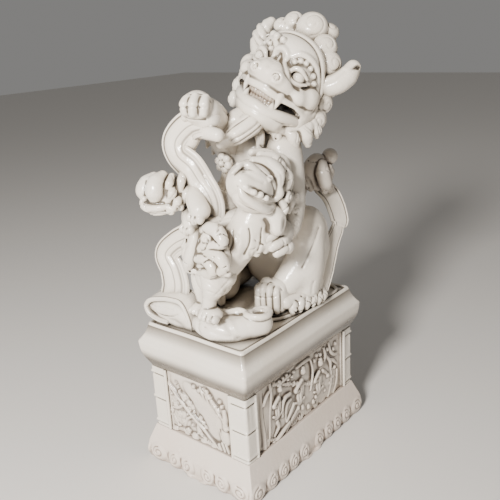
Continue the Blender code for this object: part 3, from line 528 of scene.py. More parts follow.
def build_head():
    piece(make_head().skin("lion_head"), "head")
    for side, name in ((1, "right"), (-1, "left")):
        x, y, z = face(side, 18.3, 24.3, 6.2)
        eye = Clay((x - 8, y - 8, z - 8), (x + 8, y + 8, z + 8), step=0.55, place=HEAD)
        eye.ball((x, y, z), 5.0)
        pupil = np.linspace(0, math.tau, 9)
        eye.groove([(x + 1.7 * math.cos(a), y + 4.8, z + 1.7 * math.sin(a)) for a in pupil], 0.45, 0.22, 0.3)
        piece(eye.skin("lion_eye_" + name), "eye_" + name)

    jaw = Clay((-40, -12, -50), (40, 46, -12), place=HEAD)
    jaw.ball((0, 10, -34), (25, 22, 9), tilt=-6)
    jaw.ball((0, 22, -34), (17, 14, 8), tilt=-6, soft=5)
    jaw.rope(arch([(0, 35.5, -29), (10, 33, -29), (19, 26, -26.5), (26, 14, -23.5), (28, 5, -22)]),
             (3.6, 4.6, 5.2, 5.6, 5.8, 5.6, 5.2, 4.6, 3.6), 3)
    jaw.rope(arch([(0, 35.5, -34), (9, 33, -34), (17, 25, -33)]), 4.6, 4)
    jaw.ball((0, 12, -23.5), (18.5, 19, 5), tilt=-6, carve=True)
    jaw.groove(arch([(0, 41, -31.5), (9, 39, -31.5), (18, 31, -29.5), (26, 19, -27)]), 1.3, 0.7, 1.2)
    for side in (1, -1):
        jaw.rope(half(side, (12.5, 33, -27), (12.3, 33.5, -22.5), (11.8, 32.5, -18.8)), (3.0, 2.0, 0.7), 1.0)
    for x in np.linspace(-21, 21, 12):
        jaw.groove([(x, 30 - abs(x) * 0.5, -40), (x * 1.04, 22 - abs(x) * 0.5, -43),
                    (x * 1.1, 12 - abs(x) * 0.4, -44)], 0.9, 0.6, 0.6)
    piece(jaw.skin("lion_jaw"), "lower_jaw")

    teeth = Clay((-24, 4, -34), (24, 42, -10), step=0.6, place=HEAD)
    for far, middle, near, end, z in ((31, 33.2, 31.5, 28, -17.5), (29.5, 31.8, 30, 26.5, -23.5)):
        teeth.rope([face(-1, 9, far, z), (0, middle, z), face(1, 8, near, z), face(1, 13, end, z)], 3.4, 1)
    teeth.ball((2, 14, -27), (12, 12, 4.0), tilt=-6, soft=2)
    for x in np.arange(-13.5, 14, 3.0):
        for z in (-17.5, -23.5):
            y = 36.6 - 0.028 * x * x - (1.4 if z < -20 else 0)
            teeth.groove([(x, y, z + ROLL * x + 3), (x, y, z + ROLL * x - 3)], 0.55, 0.5, 0.3)
    # The teeth take the darker glaze: painted shade inside the mouth.
    piece(teeth.skin("lion_teeth"), "teeth", material=TOOTH, slot="pooled_glaze")

    # Painted shade: a near-black sheet fills the open mouth.
    mouth_shade = Clay((-28, -6, -32), (28, 30, -12), step=1.1, place=HEAD)
    mouth_shade.ball((0, 10, -21), (24, 13, 7), tilt=-6)
    piece(mouth_shade.skin("mouth_shade_sheet"), material=DARK, slot="pooled_glaze")


def build_ears():
    for side, name in ((1, "right"), (-1, "left")):
        clay = Clay((side * 40 - 22, -26, -4), (side * 40 + 22, 16, 52), place=HEAD)
        if side == 1:
            path = [(30, -4, 12), (36, -5, 16), (41, -6, 23), (42.5, -8, 32), (40, -10, 40)]
            clay.rope(path, (7.5, 8.4, 7.8, 6.8, 4.6), 2)
            for k, tip in ((1.4, 9.5), (2.4, 9.0), (3.3, 7.6)):
                i = int(k)
                x, y, z = np.array(path[i]) + np.subtract(path[i + 1], path[i]) * (k - i)
                turns = np.linspace(0, math.tau, 17)
                ring = [(x + tip * math.cos(a), y + tip * math.sin(a), z + 4 * math.cos(a)) for a in turns]
                clay.groove(ring, 1.5, 1.2, 1.2, 3)
            clay.rope([(38, 2, 24), (40, 1, 32), (39, -1, 38)], (1.2, 2.0, 1.4), 1.5, True)
        else:
            path = [(-28, -2, 10), (-34, -3, 11.5), (-39.5, -4, 16.5), (-43, -6, 24), (-43.5, -8, 31.5)]
            clay.rope(path, (6.8, 8.4, 8.6, 8.2, 6.4), 2)
            clay.rope([(-46, 0, 30), (-48, -5, 33), (-47.5, -10, 33)], (1.2, 2.0, 1.2), 1.2, True)
            clay.groove([(-33, 5.5, 12), (-38, 5.5, 18), (-41, 3.5, 26)], 2.2, 0.7, 2.0)
        piece(clay.skin("lion_ear_" + name), "ear_" + name)


def hair_lock(clay, points, radii, lines, soft=1.2, spread=0.45):
    """Pointed lock of hair with combed lines along it."""
    clay.rope(points, radii, soft)
    path = spline(points, 4)
    sizes = along(radii, len(path))
    run = unit(np.gradient(path, axis=0))
    _, slope = clay.probe(clay.snap(path, 0.5))
    out = unit(slope + 1e-6)
    side = np.cross(run, out)
    for k in range(lines):
        shift = ((k + 0.5) / lines - 0.5) * 2 * spread
        line = path + side * (sizes * shift)[:, None] + out * sizes[:, None]
        clay.rope(line[1:-1:2], 0.6, 0.5, True, 2, snap=0.1)


def build_mane():
    # Curls of each group: place, the way they face, radius, turns of the spiral, its start, its hand.
    groups = {
        "mane_crown": (
            ((1, -3, 47.5), (-0.25, 0.95, 0.35), 13.0, 1.2, 200, 1),
            ((20, -6, 48), (0.1, 0.9, 0.5), 8.0, 0.9, 90, 1),
            ((29, -6, 41), (0.3, 0.9, 0.4), 6.5, 0.9, 0, -1),
            ((-10, -13, 52), (-0.2, 0.4, 0.9), 8.0, 1.0, 0, 1),
            ((12, -9, 46), (0.1, 0.9, 0.3), 7.5, 1.0, 180, -1)),
        "mane_left": (
            ((-17.0, -1, 37), (-0.55, 0.75, 0.4), 10.5, 1.1, 150, -1),
            ((-26.5, -3, 27), (-0.75, 0.6, 0.25), 10.0, 1.2, 60, 1),
            ((-33, -6, 9), (-0.9, 0.4, 0.1), 7.0, 1.1, 30, -1),
            ((-35, -7, -3), (-0.9, 0.4, 0.0), 8.0, 1.1, 30, 1),
            ((-35, -6, -17), (-0.85, 0.5, -0.1), 9.5, 1.2, 0, -1)),
        "mane_right": (
            ((38, -6, 8), (0.9, 0.4, 0.1), 8.0, 1.2, 0, 1),
            ((40, -6, -6), (0.9, 0.4, 0.0), 8.0, 1.2, 30, -1),
            ((40, -4, -18), (0.85, 0.5, -0.2), 8.0, 1.2, 60, 1),
            ((38, -2, -30), (0.8, 0.5, -0.3), 7.0, 1.2, 90, -1)),
    }
    for name, curls in groups.items():
        clay = Clay((-56, -34, -46), (56, 24, 62), place=HEAD)
        for a, b in zip(curls, curls[1:]):
            middle = tuple((p * 0.5 + q * 0.5) * 0.9 for p, q in zip(a[0], b[0]))
            clay.ball((middle[0], middle[1] - 4, middle[2]), (7, 8, 7), soft=3)
        for at, axis, radius, turns, start, hand in curls:
            clay.ball((at[0] * 0.88, at[1] - 5, at[2] * 0.88), radius * 0.95, soft=3)
            clay.curl(at, axis, radius, turns, start, hand, 0.7, 0.72, 1.2, 1.0)
        piece(clay.skin("lion_" + name), name)

    clay = Clay((-42, -60, -52), (42, 8, 62), step=BROAD, place=HEAD)
    clay.ball((0, -14, 4), (30, 22, 34), soft=4)
    back_rows = ((38, -22, 3), (26, -31, 4), (12, -36, 5), (-3, -37, 5), (-18, -34, 4), (-32, -26, 4))
    for row, (z, y, count) in enumerate(back_rows):
        for k in range(count):
            x = (k - (count - 1) / 2) * 13.0 + (row % 2) * 2 - 1
            lean = unit((x * 0.03, -1.0, z * 0.02))
            hand = 1 if k % 2 else -1
            clay.curl((x, y + abs(x) * 0.28, z), lean, 7.6, 1.2, 40 * k, hand, 1.3, 0.75, 1.5, 1.1)
    piece(clay.skin("lion_mane_back"), "mane_back")

    beard = Clay((-56, -42, 270), (6, 6, 322))
    beard.rope([(-8, -26, 306), (-19, -24, 299), (-29, -17, 292), (-38, -8, 285.5)], (7.0, 9.0, 8.0, 3.6), 2)
    beard.rope([(-12, -18, 308), (-22, -12, 302), (-31, -6, 295)], (7.0, 8.4, 5.0), 3)
    for points in ([(-14, -34, 305), (-24, -31, 298), (-36, -18, 289)],
                   [(-12, -30, 312), (-24, -26, 306), (-36, -14, 295)],
                   [(-16, -35, 299), (-24, -31, 293), (-34, -19, 285)]):
        beard.groove(points, 1.1, 1.0, 0.9)
    piece(beard.skin("lion_beard_lock"), "beard_lock")

    strands = Clay((-28, -66, 262), (40, 0, 310))
    strands.rope([(-6, -16, 300), (0, -28, 295), (9, -40, 292), (20, -50, 293)], (6, 6.5, 6.5, 6), 3)
    for points, radii in (
            ([(-9, -22, 300), (-10, -25, 289), (-10, -25, 281), (-12, -24, 273)], (5.0, 4.4, 3.2, 1.4)),
            ([(1, -31, 297), (1, -34, 286), (3, -33, 279), (4, -32, 271)], (4.6, 4.4, 3.2, 1.2)),
            ([(8, -41, 294), (9, -44, 285), (11, -43, 278), (12, -42, 271)], (5, 6, 5, 2.0)),
            ([(15, -48, 294), (17, -51, 286), (19, -51, 279)], (5.0, 5.8, 3.2)),
            ([(24, -52, 296), (27, -54, 289), (29, -53, 284)], (4.6, 4.8, 2.6)),
            ([(-4, -18, 298), (-4, -20, 286), (-5, -20, 280)], (4, 3.6, 2.4))):
        hair_lock(strands, points, radii, 2)
    piece(strands.skin("lion_beard_strands"), "beard_strands")


build_head()
build_ears()
build_mane()


# ---------------------------------------------------------------- plinth

BASE = (88.0, 61.0)         # half length and half width of the base moulding
LONG_LOBES = (12.0, 28.0, 43.5, 59.5, 79.5)         # scroll lobes, from the middle of a long side
SHORT_LOBES = (12.0, 28.0, 48.5)                    # and of a short side
SIDES = {                   # for each side, the way to the right along it and the way out
    "left": ((1, 0), (0, -1)),
    "front": ((0, -1), (-1, 0)),
    "right": ((-1, 0), (0, 1)),
    "back": ((0, 1), (1, 0)),
}


def wall_space(side, inset):
    """Local frame of one plinth side, seen from outside: X to the right, Y up, Z out of the wall."""
    (ux, uy), (wx, wy) = SIDES[side]
    reach = BASE[0] - inset if wx else BASE[1] - inset
    place = np.eye(4)
    place[:3, 0], place[:3, 1], place[:3, 2] = (ux, uy, 0), (0, 0, 1), (wx, wy, 0)
    place[:3, 3] = (wx * reach, wy * reach, 0)
    return place


def on_wall(place, points):
    """Points given in the space of one side, in the space of the whole."""
    return [place[:3, 3] + place[:3, :3] @ np.array(p) for p in points]


def spiral(u, v, wide, high, turns, lean, hand):
    """Points of an oval spiral line, wound inward."""
    steps = np.linspace(0, 1, 16)
    angle = math.radians(100) + hand * math.tau * turns * steps
    shrink = 1 - 0.72 * steps
    x, y = wide * shrink * np.cos(angle), high * shrink * np.sin(angle)
    return np.stack([u + x + lean * y, v + y - lean * x * 0.3], axis=1)


def add_lobe(clay, place, u, wide, hand):
    """Leaning oval scroll lobe with a wound line on it."""
    clay.oval(on_wall(place, [(u, 7.6, -0.9)])[0], place[:3, :3], (wide, 9.2, 2.9), 0.9)
    wound = spiral(u, 8.2, wide * 0.66, 6.0, 1.35, -0.25 * hand, -hand)
    clay.groove(on_wall(place, [(a, b, 1.6) for a, b in wound]), 1.1, 1.0, 0.5, 3)


def build_base():
    """Hollow skirt: a sloping ledge over a straight band of scroll lobes."""
    clay = Clay((-91, -64, -3), (91, 64, 36))
    x, y, z = (clay.low[i] + clay.step * np.arange(clay.size[i]) for i in range(3))
    inset = np.interp(z, (0, 15, 18, 33), (0.6, 0.2, 1.0, 6.6))
    wall = np.maximum(np.abs(x)[:, None, None] - (BASE[0] - inset),
                      np.abs(y)[None, :, None] - (BASE[1] - inset))
    clay.field[...] = np.maximum(wall, z - 33.0)
    for side in SIDES:
        place = wall_space(side, 0.0)
        *inner, last = LONG_LOBES if side in ("left", "right") else SHORT_LOBES
        for hand in (1, -1):
            for u in inner:
                add_lobe(clay, place, hand * u, 7.9, hand)
                notch = ((hand * (u + 8.1), 1.2, 1.6), (hand * (u + 7.8), 4.5, 1.2),
                         (hand * (u + 8.7), 9.5, 0.6), (hand * (u + 7.1), 14.5, 0.4))
                clay.rope(on_wall(place, notch), (3.0, 2.0, 1.1, 0.6), 1.0, True)
            add_lobe(clay, place, hand * last, 10.5, hand)
        apron = ((-10, 0.2, 1.2), (-5, -1.2, 1.4), (0, -2.0, 1.6), (5, -1.2, 1.4), (10, 0.2, 1.2))
        clay.rope(on_wall(place, apron), (1.0, 1.8, 2.2, 1.8, 1.0), 3.0)
    clay.slab((-76, -49, -9), (76, 49, 60), 2.0, carve=True)
    clay.field[...] = np.maximum(clay.field, -z)
    piece(clay.skin("plinth_base"), "base_moulding", material=ROSY, slot="thin_glaze")


def build_posts():
    for name, sx, sy in (("post_front_left", -1, -1), ("post_front_right", 1, -1), ("post_back_right", 1, 1),
                         ("post_back_left", -1, 1)):
        x1, y1 = sx * 81.0, sy * 54.0
        x0, y0 = x1 - sx * 13.6, y1 - sy * 17.6
        low_x, high_x, low_y, high_y = min(x0, x1), max(x0, x1), min(y0, y1), max(y0, y1)
        clay = Clay((low_x - 3, low_y - 3, 30), (high_x + 3, high_y + 3, 95))
        for low, high in ((30.5, 36.0), (36.0, 61.0), (61.0, 86.0), (86.0, 95.5)):
            clay.slab((low_x, low_y, low + 0.2), (high_x, high_y, high - 0.2), 2.4, 0.3)
        for z in (37.6, 62.6, 87.6):
            clay.slab((low_x - 0.45, low_y - 0.45, z - 1.1), (high_x + 0.45, high_y + 0.45, z + 1.1),
                      0.9, 0.9)
            clay.slab((low_x + 1.6, low_y + 1.6, z - 2.4), (high_x - 1.6, high_y - 1.6, z - 0.9), 0.6, 0.3)
        for x, y in ((x0 + sx * 0.4, y1 - sy * 0.6), (x1 - sx * 0.6, y0 + sy * 0.4)):
            clay.rope([(x, y, 33), (x, y, 92.6)], 1.5, 0.3, per_span=2)
        for k in (0.33, 0.66):
            clay.groove([(x0 + sx * 13.6 * k, y1 + sy, 64), (x0 + sx * 13.6 * k, y1 + sy, 84)],
                        2.6, 0.12, 2.0, 2)
        clay.slab((low_x - 3, low_y - 3, 20), (high_x + 3, high_y + 3, 33.0), 0.1, 0.1, True)
        clay.slab((low_x - 3, low_y - 3, 92.8), (high_x + 3, high_y + 3, 99), 0.1, 0.1, True)
        piece(clay.skin("bamboo_" + name), name)


def mark(clay, points, radii, rise, soft=0.7):
    """Roll of clay pressed on a panel: points are (right, up), rise is how far it stands out."""
    size = np.max(radii)
    clay.rope([(u, v, rise - size) for u, v in points], radii, soft)


def dab(clay, u, v, wide, high, rise, lean=0.0, soft=0.8):
    """Flattened oval on a panel."""
    clay.ball((u, v, 0.0), (wide, high, rise), turn=lean, soft=soft)


def dots(clay, places, wide, high, rise, soft=0.4):
    """The same small oval at several places."""
    for u, v in places:
        dab(clay, u, v, wide, high, rise, soft=soft)


def leaves(clay, count, corner, size, shift, wide, high, rise, lean, soft):
    """Small ovals of varied size, spread over part of a panel by steps of the golden ratio."""
    for k in range(count):
        u = corner[0] + size[0] * ((k * 0.618 + shift[0]) % 1.0)
        v = corner[1] + size[1] * ((k * 0.382 + shift[1]) % 1.0)
        dab(clay, u, v, wide[0] + wide[1] * math.sin(k), high[0] + high[1] * math.cos(k * 1.3),
            rise[0] + rise[1] * math.cos(k * 1.9), lean * math.sin(k * 2.3), soft)


def line(clay, points, radius, depth):
    """Line cut into a panel's relief."""
    clay.groove([(u, v, 2.5) for u, v in points], radius, depth, 0.5, 4)


def tuft(clay, u, v, high, count, fan=5.0):
    """Blades of grass that fan up from one root."""
    for k in range(count):
        lean = (k - (count - 1) / 2) * fan / max(count - 1, 1)
        mark(clay, [(u + lean * 0.25, v), (u + lean * 0.6, v + high * 0.55), (u + lean * 1.5, v + high)],
             (1.1, 1.1, 0.5), 1.5)


def blossom(clay, u, v, radius):
    """Five round petals about a raised middle."""
    turns = [math.tau * k / 5 + u for k in range(5)]
    dots(clay, [(u + radius * 0.8 * math.cos(a), v + radius * 0.8 * math.sin(a)) for a in turns],
         radius * 0.62, radius * 0.62, 1.9)
    dab(clay, u, v, radius * 0.5, radius * 0.5, 2.4, soft=0.3)


def rocks(clay, low, high, base, seed):
    """Row of overlapping boulders along the foot of a panel."""
    u, k = low, seed
    while u < high:
        wide = 4.6 + 2.2 * math.sin(k * 2.1)
        dab(clay, u, base + 1.5 * math.sin(k * 1.3), wide, 4.6 + 1.4 * math.cos(k * 1.7),
            2.2 + 0.6 * math.sin(k), 12 * math.sin(k), 0.6)
        line(clay, [(u - wide * 0.4, base + 1), (u, base + 3.4), (u + wide * 0.5, base + 2)], 0.6, 0.4)
        u += wide * 1.35
        k += 1


def tree_panel(clay):
    """Old branch with blossom and a long-tailed bird on a rock."""
    for u, v, wide, high, lean in ((8, 70, 17, 11, -30), (16, 56, 12, 13, 20), (-6, 78, 12, 6, -30),
                                   (24, 64, 7, 11, 0)):
        dab(clay, u, v, wide, high, 1.5, lean, 2.0)
    for u, v, wide, high in ((-28, 62, 7, 8), (-22, 48, 8, 7), (-31, 46, 6, 8), (-14, 64, 7, 5),
                             (-20, 70, 7, 5)):
        dab(clay, u, v, wide, high, 1.2, 0, 1.5)
    leaves(clay, 46, (1, 50), (32, 39), (0.0, 0.2), (1.9, 0.7), (1.5, 0.5), (2.9, 0.6), 40, 0.4)
    leaves(clay, 26, (-35, 40), (26, 44), (0.3, 0.0), (1.3, 0.5), (1.1, 0.4), (2.3, 0.4), 40, 0.4)
    mark(clay, [(-36, 80), (-24, 68.5), (-10, 57), (3, 48), (13, 40), (22, 32)],
         (1.6, 2.2, 2.3, 2.2, 2.0, 1.4), 2.8)
    line(clay, [(-34, 81), (-22, 70), (-8, 59), (5, 50), (16, 41), (24, 33)], 0.9, 0.9)
    mark(clay, [(-18, 64), (-26, 58), (-33, 56)], (1.4, 1.2, 0.8), 2.2)
    mark(clay, [(-8, 56), (-16, 50), (-20, 42)], (1.4, 1.2, 0.8), 2.2)
    for u, v in ((-27, 68), (-18, 71), (-12, 67), (-29, 60), (-35, 53), (-30, 44), (-20, 46), (-13, 61),
                 (-25, 52), (-16, 38)):
        blossom(clay, u, v, 2.3)
    dots(clay, ((-33, 62), (-36, 48), (-22, 64), (-26, 40), (-7, 60), (-33, 70), (-10, 46), (-23, 74),
                (-15, 55)), 1.5, 1.5, 2.0)
    mark(clay, [(-3, 50), (-2, 43), (4, 37)], (2.2, 3.2, 1.8), 2.6)
    dots(clay, ((-3, 47), (-1, 43), (2, 40), (-3, 41)), 1.3, 1.3, 3.2, 0.3)
    for u, v in ((5, 83), (10, 80.5), (15, 78), (19, 75)):
        mark(clay, [(u - 3, v + 4), (u, v), (u + 1, v - 5)], (0.8, 2.0, 0.6), 2.4)
    dots(clay, ((24, 81), (26, 77), (22, 72), (21, 67), (-5, 86), (1, 84)), 2.0, 2.0, 2.4)
    mark(clay, [(28, 73), (29, 66), (28, 58)], (1.8, 3.0, 2.4), 2.9)
    dab(clay, 28, 48.5, 6.0, 8.0, 3.4, 8, 0.8)
    line(clay, [(23, 55), (25, 49), (29, 43)], 0.7, 0.5)
    dab(clay, 29.5, 57.5, 3.0, 2.8, 3.4, 0, 0.6)
    for points in ([(24, 41), (27, 32), (28, 25)], [(28, 41), (31, 33), (32, 26)],
                   [(20, 38), (24, 30), (26, 24)]):
        mark(clay, points, (1.6, 1.4, 0.8), 2.2)
    rocks(clay, -34, 34, 25.5, 1)
    for u, v, wide, high, lean in ((-33, 33, 5, 4, 30), (-27, 29, 5, 4, -30), (-8, 34, 4.4, 5, 10),
                                   (2, 32, 4.6, 5, 0), (14, 33, 4.4, 4.4, 0)):
        dab(clay, u, v, wide, high, 2.6, lean, 0.7)
    tuft(clay, -18, 28, 9, 5)
    tuft(clay, 8, 28, 8, 4)


def small_figure(clay, u, v, high, wide, lean):
    """Robed figure with a plain round head, at relief scale."""
    top = v + high
    mark(clay, [(u + lean, top), (u + lean * 0.5, v + high * 0.55), (u, v)], (wide * 0.55, wide, wide * 1.05),
         3.2, 0.8)
    head = top + wide * 0.75
    dab(clay, u + lean, head, wide * 0.46, wide * 0.52, 3.6, 0, 0.3)
    dab(clay, u + lean, head + wide * 0.5, wide * 0.3, wide * 0.26, 3.2, 0, 0.3)
    dab(clay, u + lean, head - 0.2, 0.5, 0.7, 4.3, 0, 0.3)
    for k in (-0.55, -0.1, 0.4):
        line(clay, [(u + lean + k * wide * 0.5, top - 2), (u + k * wide, v + high * 0.4),
                    (u + k * wide * 1.3, v)], 0.65, 0.6)
    mark(clay, [(u - wide, v + 1), (u, v - 0.8), (u + wide * 0.9, v + 0.6)], 1.1, 3.1, 0.4)
    mark(clay, [(u + lean - wide * 0.5, top - 1.5), (u - wide * 0.9, v + high * 0.62),
                (u - wide * 0.1, v + high * 0.5)], (1.5, 2.0, 1.2), 3.8, 0.5)


def rider_panel(clay):
    """Robed figures with a led animal between a pine trunk and a rock arch."""
    for u, v, wide, high in ((-20, 48, 14, 10), (8, 50, 12, 14), (34, 52, 14, 16), (-48, 60, 8, 20),
                             (50, 44, 9, 14)):
        dab(clay, u, v, wide, high, 1.2, 0, 2.5)
    mark(clay, [(-57, 90), (-57, 72), (-56, 56), (-55, 40), (-57, 26)], (2.4, 3.0, 3.6, 4.0, 4.6), 2.8)
    line(clay, [(-55, 86), (-56, 66), (-54, 46), (-55, 30)], 0.8, 0.7)
    mark(clay, [(-46, 91), (-45, 80), (-48, 62), (-49, 46), (-52, 33)], (1.5, 1.8, 1.6, 1.8, 1.4), 2.2)
    mark(clay, [(-56, 76), (-50, 83), (-44, 86)], (1.6, 1.4, 1.0), 2.6)
    leaves(clay, 60, (-52, 34), (112, 54), (0.0, 0.1), (2.0, 0.8), (1.5, 0.5), (1.7, 0.3), 60, 0.7)
    small_figure(clay, -38, 57, 18, 5.8, 5)
    mark(clay, [(-19, 68), (-27, 67.5), (-31, 61), (-31, 52)], (1.6, 1.9, 1.9, 1.5), 3.0)
    mark(clay, [(-17, 61), (-23, 60), (-26, 54), (-26, 46)], (1.6, 2.2, 2.4, 1.6), 2.6)
    mark(clay, [(-35, 84), (-26, 85.5), (-18, 86)], (1.2, 1.5, 1.2), 2.6)
    dots(clay, ((-33, 87), (-28, 88), (-23, 88.5), (-21, 83), (-15, 83), (-12, 86)), 1.9, 1.7, 2.6)
    small_figure(clay, -5, 54, 21, 7.0, 7)
    mark(clay, [(-7, 88), (3, 89), (12, 88)], (1.8, 2.4, 1.8), 2.8)
    small_figure(clay, 25, 50, 20, 7.4, 5)
    mark(clay, [(13, 86), (16, 76), (15, 66), (12, 56)], (0.9, 1.1, 1.1, 0.8), 2.8)
    dab(clay, 41, 57.5, 2.8, 2.8, 3.4, 0, 0.4)
    mark(clay, [(33, 66), (38, 62), (41, 58)], (1.8, 1.6, 1.2), 3.0)
    for u, v, r in ((-1, 45, 2.7), (8, 41, 2.6), (16, 42, 2.4), (20, 45, 2.0), (-8, 48, 2.4)):
        dab(clay, u, v, r, r * 1.25, 3.2, 0, 0.4)
    mark(clay, [(-14, 55), (-19, 50), (-25, 44)], (1.6, 2.0, 1.6), 3.0)
    mark(clay, [(-22, 41), (-31, 37), (-41, 32.5)], (1.9, 2.1, 1.8), 3.2)
    dab(clay, -44, 32, 2.4, 2.4, 3.4, 0, 0.4)
    mark(clay, [(-10, 47), (-20, 40), (-30, 30)], (1.6, 1.6, 1.0), 2.6)
    mark(clay, [(-38, 50), (-36, 44), (-42, 38)], (2.2, 2.0, 1.2), 2.4)
    for u, v, high in ((-14, 27, 9), (-3, 27, 11), (9, 26, 9), (21, 27, 12), (32, 27, 9)):
        tuft(clay, u, v, high, 4, 6)
    for points in ([(44, 90), (47, 80), (53, 74), (59, 72)], [(46, 72), (52, 68), (58, 62)],
                   [(40, 78), (46, 70), (47, 60)], [(48, 58), (46, 46), (42, 34)],
                   [(58, 56), (56, 44), (50, 32)], [(36, 88), (38, 80), (36, 74)]):
        mark(clay, points, (1.3, 1.9, 1.1), 2.6)
    dots(clay, ((52, 80), (56, 84), (42, 84), (54, 60), (36, 44), (44, 48), (50, 52), (57, 50), (30, 84),
                (24, 86), (20, 82)), 2.0, 2.2, 2.5)
    rocks(clay, -52, 60, 25, 3)


def build_panels():
    for node, side, draw, half in (("panel_tree_left", "front", tree_panel, 36.4),
                                   ("panel_tree_right", "back", tree_panel, 36.4),
                                   ("panel_riders_front", "left", rider_panel, 67.4),
                                   ("panel_riders_back", "right", rider_panel, 67.4)):
        clay = Clay((-half - 1, 32, -6.5), (half + 1, 94, 6), step=FINE * 0.75, place=wall_space(side, 10.4))
        clay.slab((-half, 33.2, -5), (half, 92.8, 0), 0.4, 0.5)
        draw(clay)
        mark(clay, [(-half + 1.0, 34), (-half + 1.0, 92)], 1.0, 1.4)
        mark(clay, [(half - 1.0, 34), (half - 1.0, 92)], 1.0, 1.4)
        clay.slab((-half - 9, 20, -9), (half + 9, 33.2, 9), 0.1, 0.1, True)
        clay.slab((-half - 9, 92.8, -9), (half + 9, 99, 9), 0.1, 0.1, True)
        piece(clay.skin(node + "_relief"), node, material=RELIEF)


def build_cornice():
    """Undercut, rounded band, hollow slope and thin lip swept around the plinth; hollow from below."""
    # Each row: inset, height and a crease value for the glaze. The crease values paint shade, darkest in the
    # undercut and on the lower band and less toward the crest, and darken the hollow slope and the inside of
    # the lip, partly as pooled glaze and partly as painted shade.
    profile = ((60.5, 127.0, 0.8), (15, 127.0, 0.8), (15, 94.0, 0.7), (14.5, 93.2, 0.6), (8.2, 93.2, 0.80),
               (7.4, 93.3, 0.80), (7.0, 94.0, 0.78), (6.2, 95.6, 0.74), (5.2, 97.6, 0.70), (4.0, 100.0, 0.66),
               (2.9, 102.6, 0.62), (2.0, 105.4, 0.585), (1.3, 108.4, 0.555), (0.8, 111.4, 0.53),
               (0.5, 114.4, 0.50), (0.35, 116.6, 0.44), (0.45, 117.8, 0.36), (1.0, 118.8, 0.36),
               (2.0, 120.0, 0.46), (3.5, 122.3, 0.53), (5.0, 125.0, 0.56), (6.2, 128.0, 0.58),
               (7.1, 130.6, 0.60), (7.5, 132.0, 0.62), (7.9, 132.9, 0.45), (8.3, 134.0, 0.36),
               (9.0, 134.5, 0.34), (10.0, 134.4, 0.40), (10.7, 133.8, 0.60), (11.4, 133.2, 0.70),
               (12.6, 133.05, 0.62), (14.5, 133.0, 0.54), (24, 133.1, 0.5), (36, 133.1, 0.5),
               (48, 133.1, 0.5), (60.5, 133.1, 0.5))
    rows = []
    for inset, z, _ in profile:
        hx, hy = BASE[0] - inset, BASE[1] - inset
        bend = min(3.0, hy * 0.5)
        ring = []
        for cx, cy, start in ((hx - bend, hy - bend, 0), (-hx + bend, hy - bend, 90),
                              (-hx + bend, -hy + bend, 180), (hx - bend, -hy + bend, 270)):
            for a in np.radians(start + np.linspace(0, 90, 9)):
                ring.append((cx + bend * math.cos(a), cy + bend * math.sin(a), z))
            here = np.array(ring[-1])
            turn = math.radians(start + 90)
            ahead = 2 * (hy - bend if start in (90, 270) else hx - bend)
            run = np.array([-math.sin(turn), math.cos(turn), 0.0])
            for t in np.linspace(0, 1, 30)[1:-1]:
                ring.append(tuple(here + run * ahead * t))
        rows.append(ring)
    rows = np.array(rows)
    sway = 0.22 * np.sin(rows[..., 0] * 0.07 + rows[..., 2] * 0.05) + 0.18 * np.sin(rows[..., 1] * 0.09 + 1.0)
    rows[..., 2] += sway * (rows[..., 2] > 100)
    # The profile's crease values, scaled, give the painted shade under the band and in the hollows.
    piece(loft("plinth_cornice", rows, [0.5 + (p[2] - 0.5) * 0.62 for p in profile]), "cornice")


def loft(name, rows, crease):
    """Skin over rows of points, each a closed ring; crease has a value for each row, or for each point."""
    rows = np.asarray(rows, float)
    count, width = rows.shape[:2]
    index = np.arange(count * width).reshape(count, width)
    a, b = index[:-1], index[1:]
    faces = np.stack([a, np.roll(a, -1, axis=1), np.roll(b, -1, axis=1), b], axis=-1).reshape(-1, 4)
    crease = np.asarray(crease, float)
    if crease.ndim == 1:
        crease = np.repeat(crease[:, None], width, axis=1)
    return quad_mesh(name, rows.reshape(-1, 3), faces, crease.ravel())


def build_ground():
    clay = Clay((-36, -54, 131), (80, 52, 140), step=BROAD)
    outline = [(-30, -24, 134.6), (-14, -40, 134.6), (12, -46.5, 134.6), (40, -48, 134.6), (66, -47, 134.6),
               (74, -30, 134.6), (75, 0, 134.6), (72, 34, 134.6), (52, 46, 134.6), (16, 44, 134.6),
               (-14, 35, 134.6), (-28, 12, 134.6), (-30, -24, 134.6)]
    clay.ball((22, -1, 134.4), (50, 44, 2.6))
    clay.rope(outline, 1.7, 2.0)
    for k in range(26):
        a = math.tau * k / 26
        clay.ball((22 + 46 * math.cos(a), -1 + 42 * math.sin(a), 134.8), (5 + 2 * math.sin(3 * k), 4, 1.9),
                  turn=40 * k, soft=1.5)
    clay.slab((-60, -70, 120), (90, 70, 133.3), 0.1, 0.2, True)
    piece(clay.skin("ground_mound"), "ground_slab")


build_base()
build_posts()
build_panels()
build_cornice()
build_ground()


# ---------------------------------------------------------------- ribbon

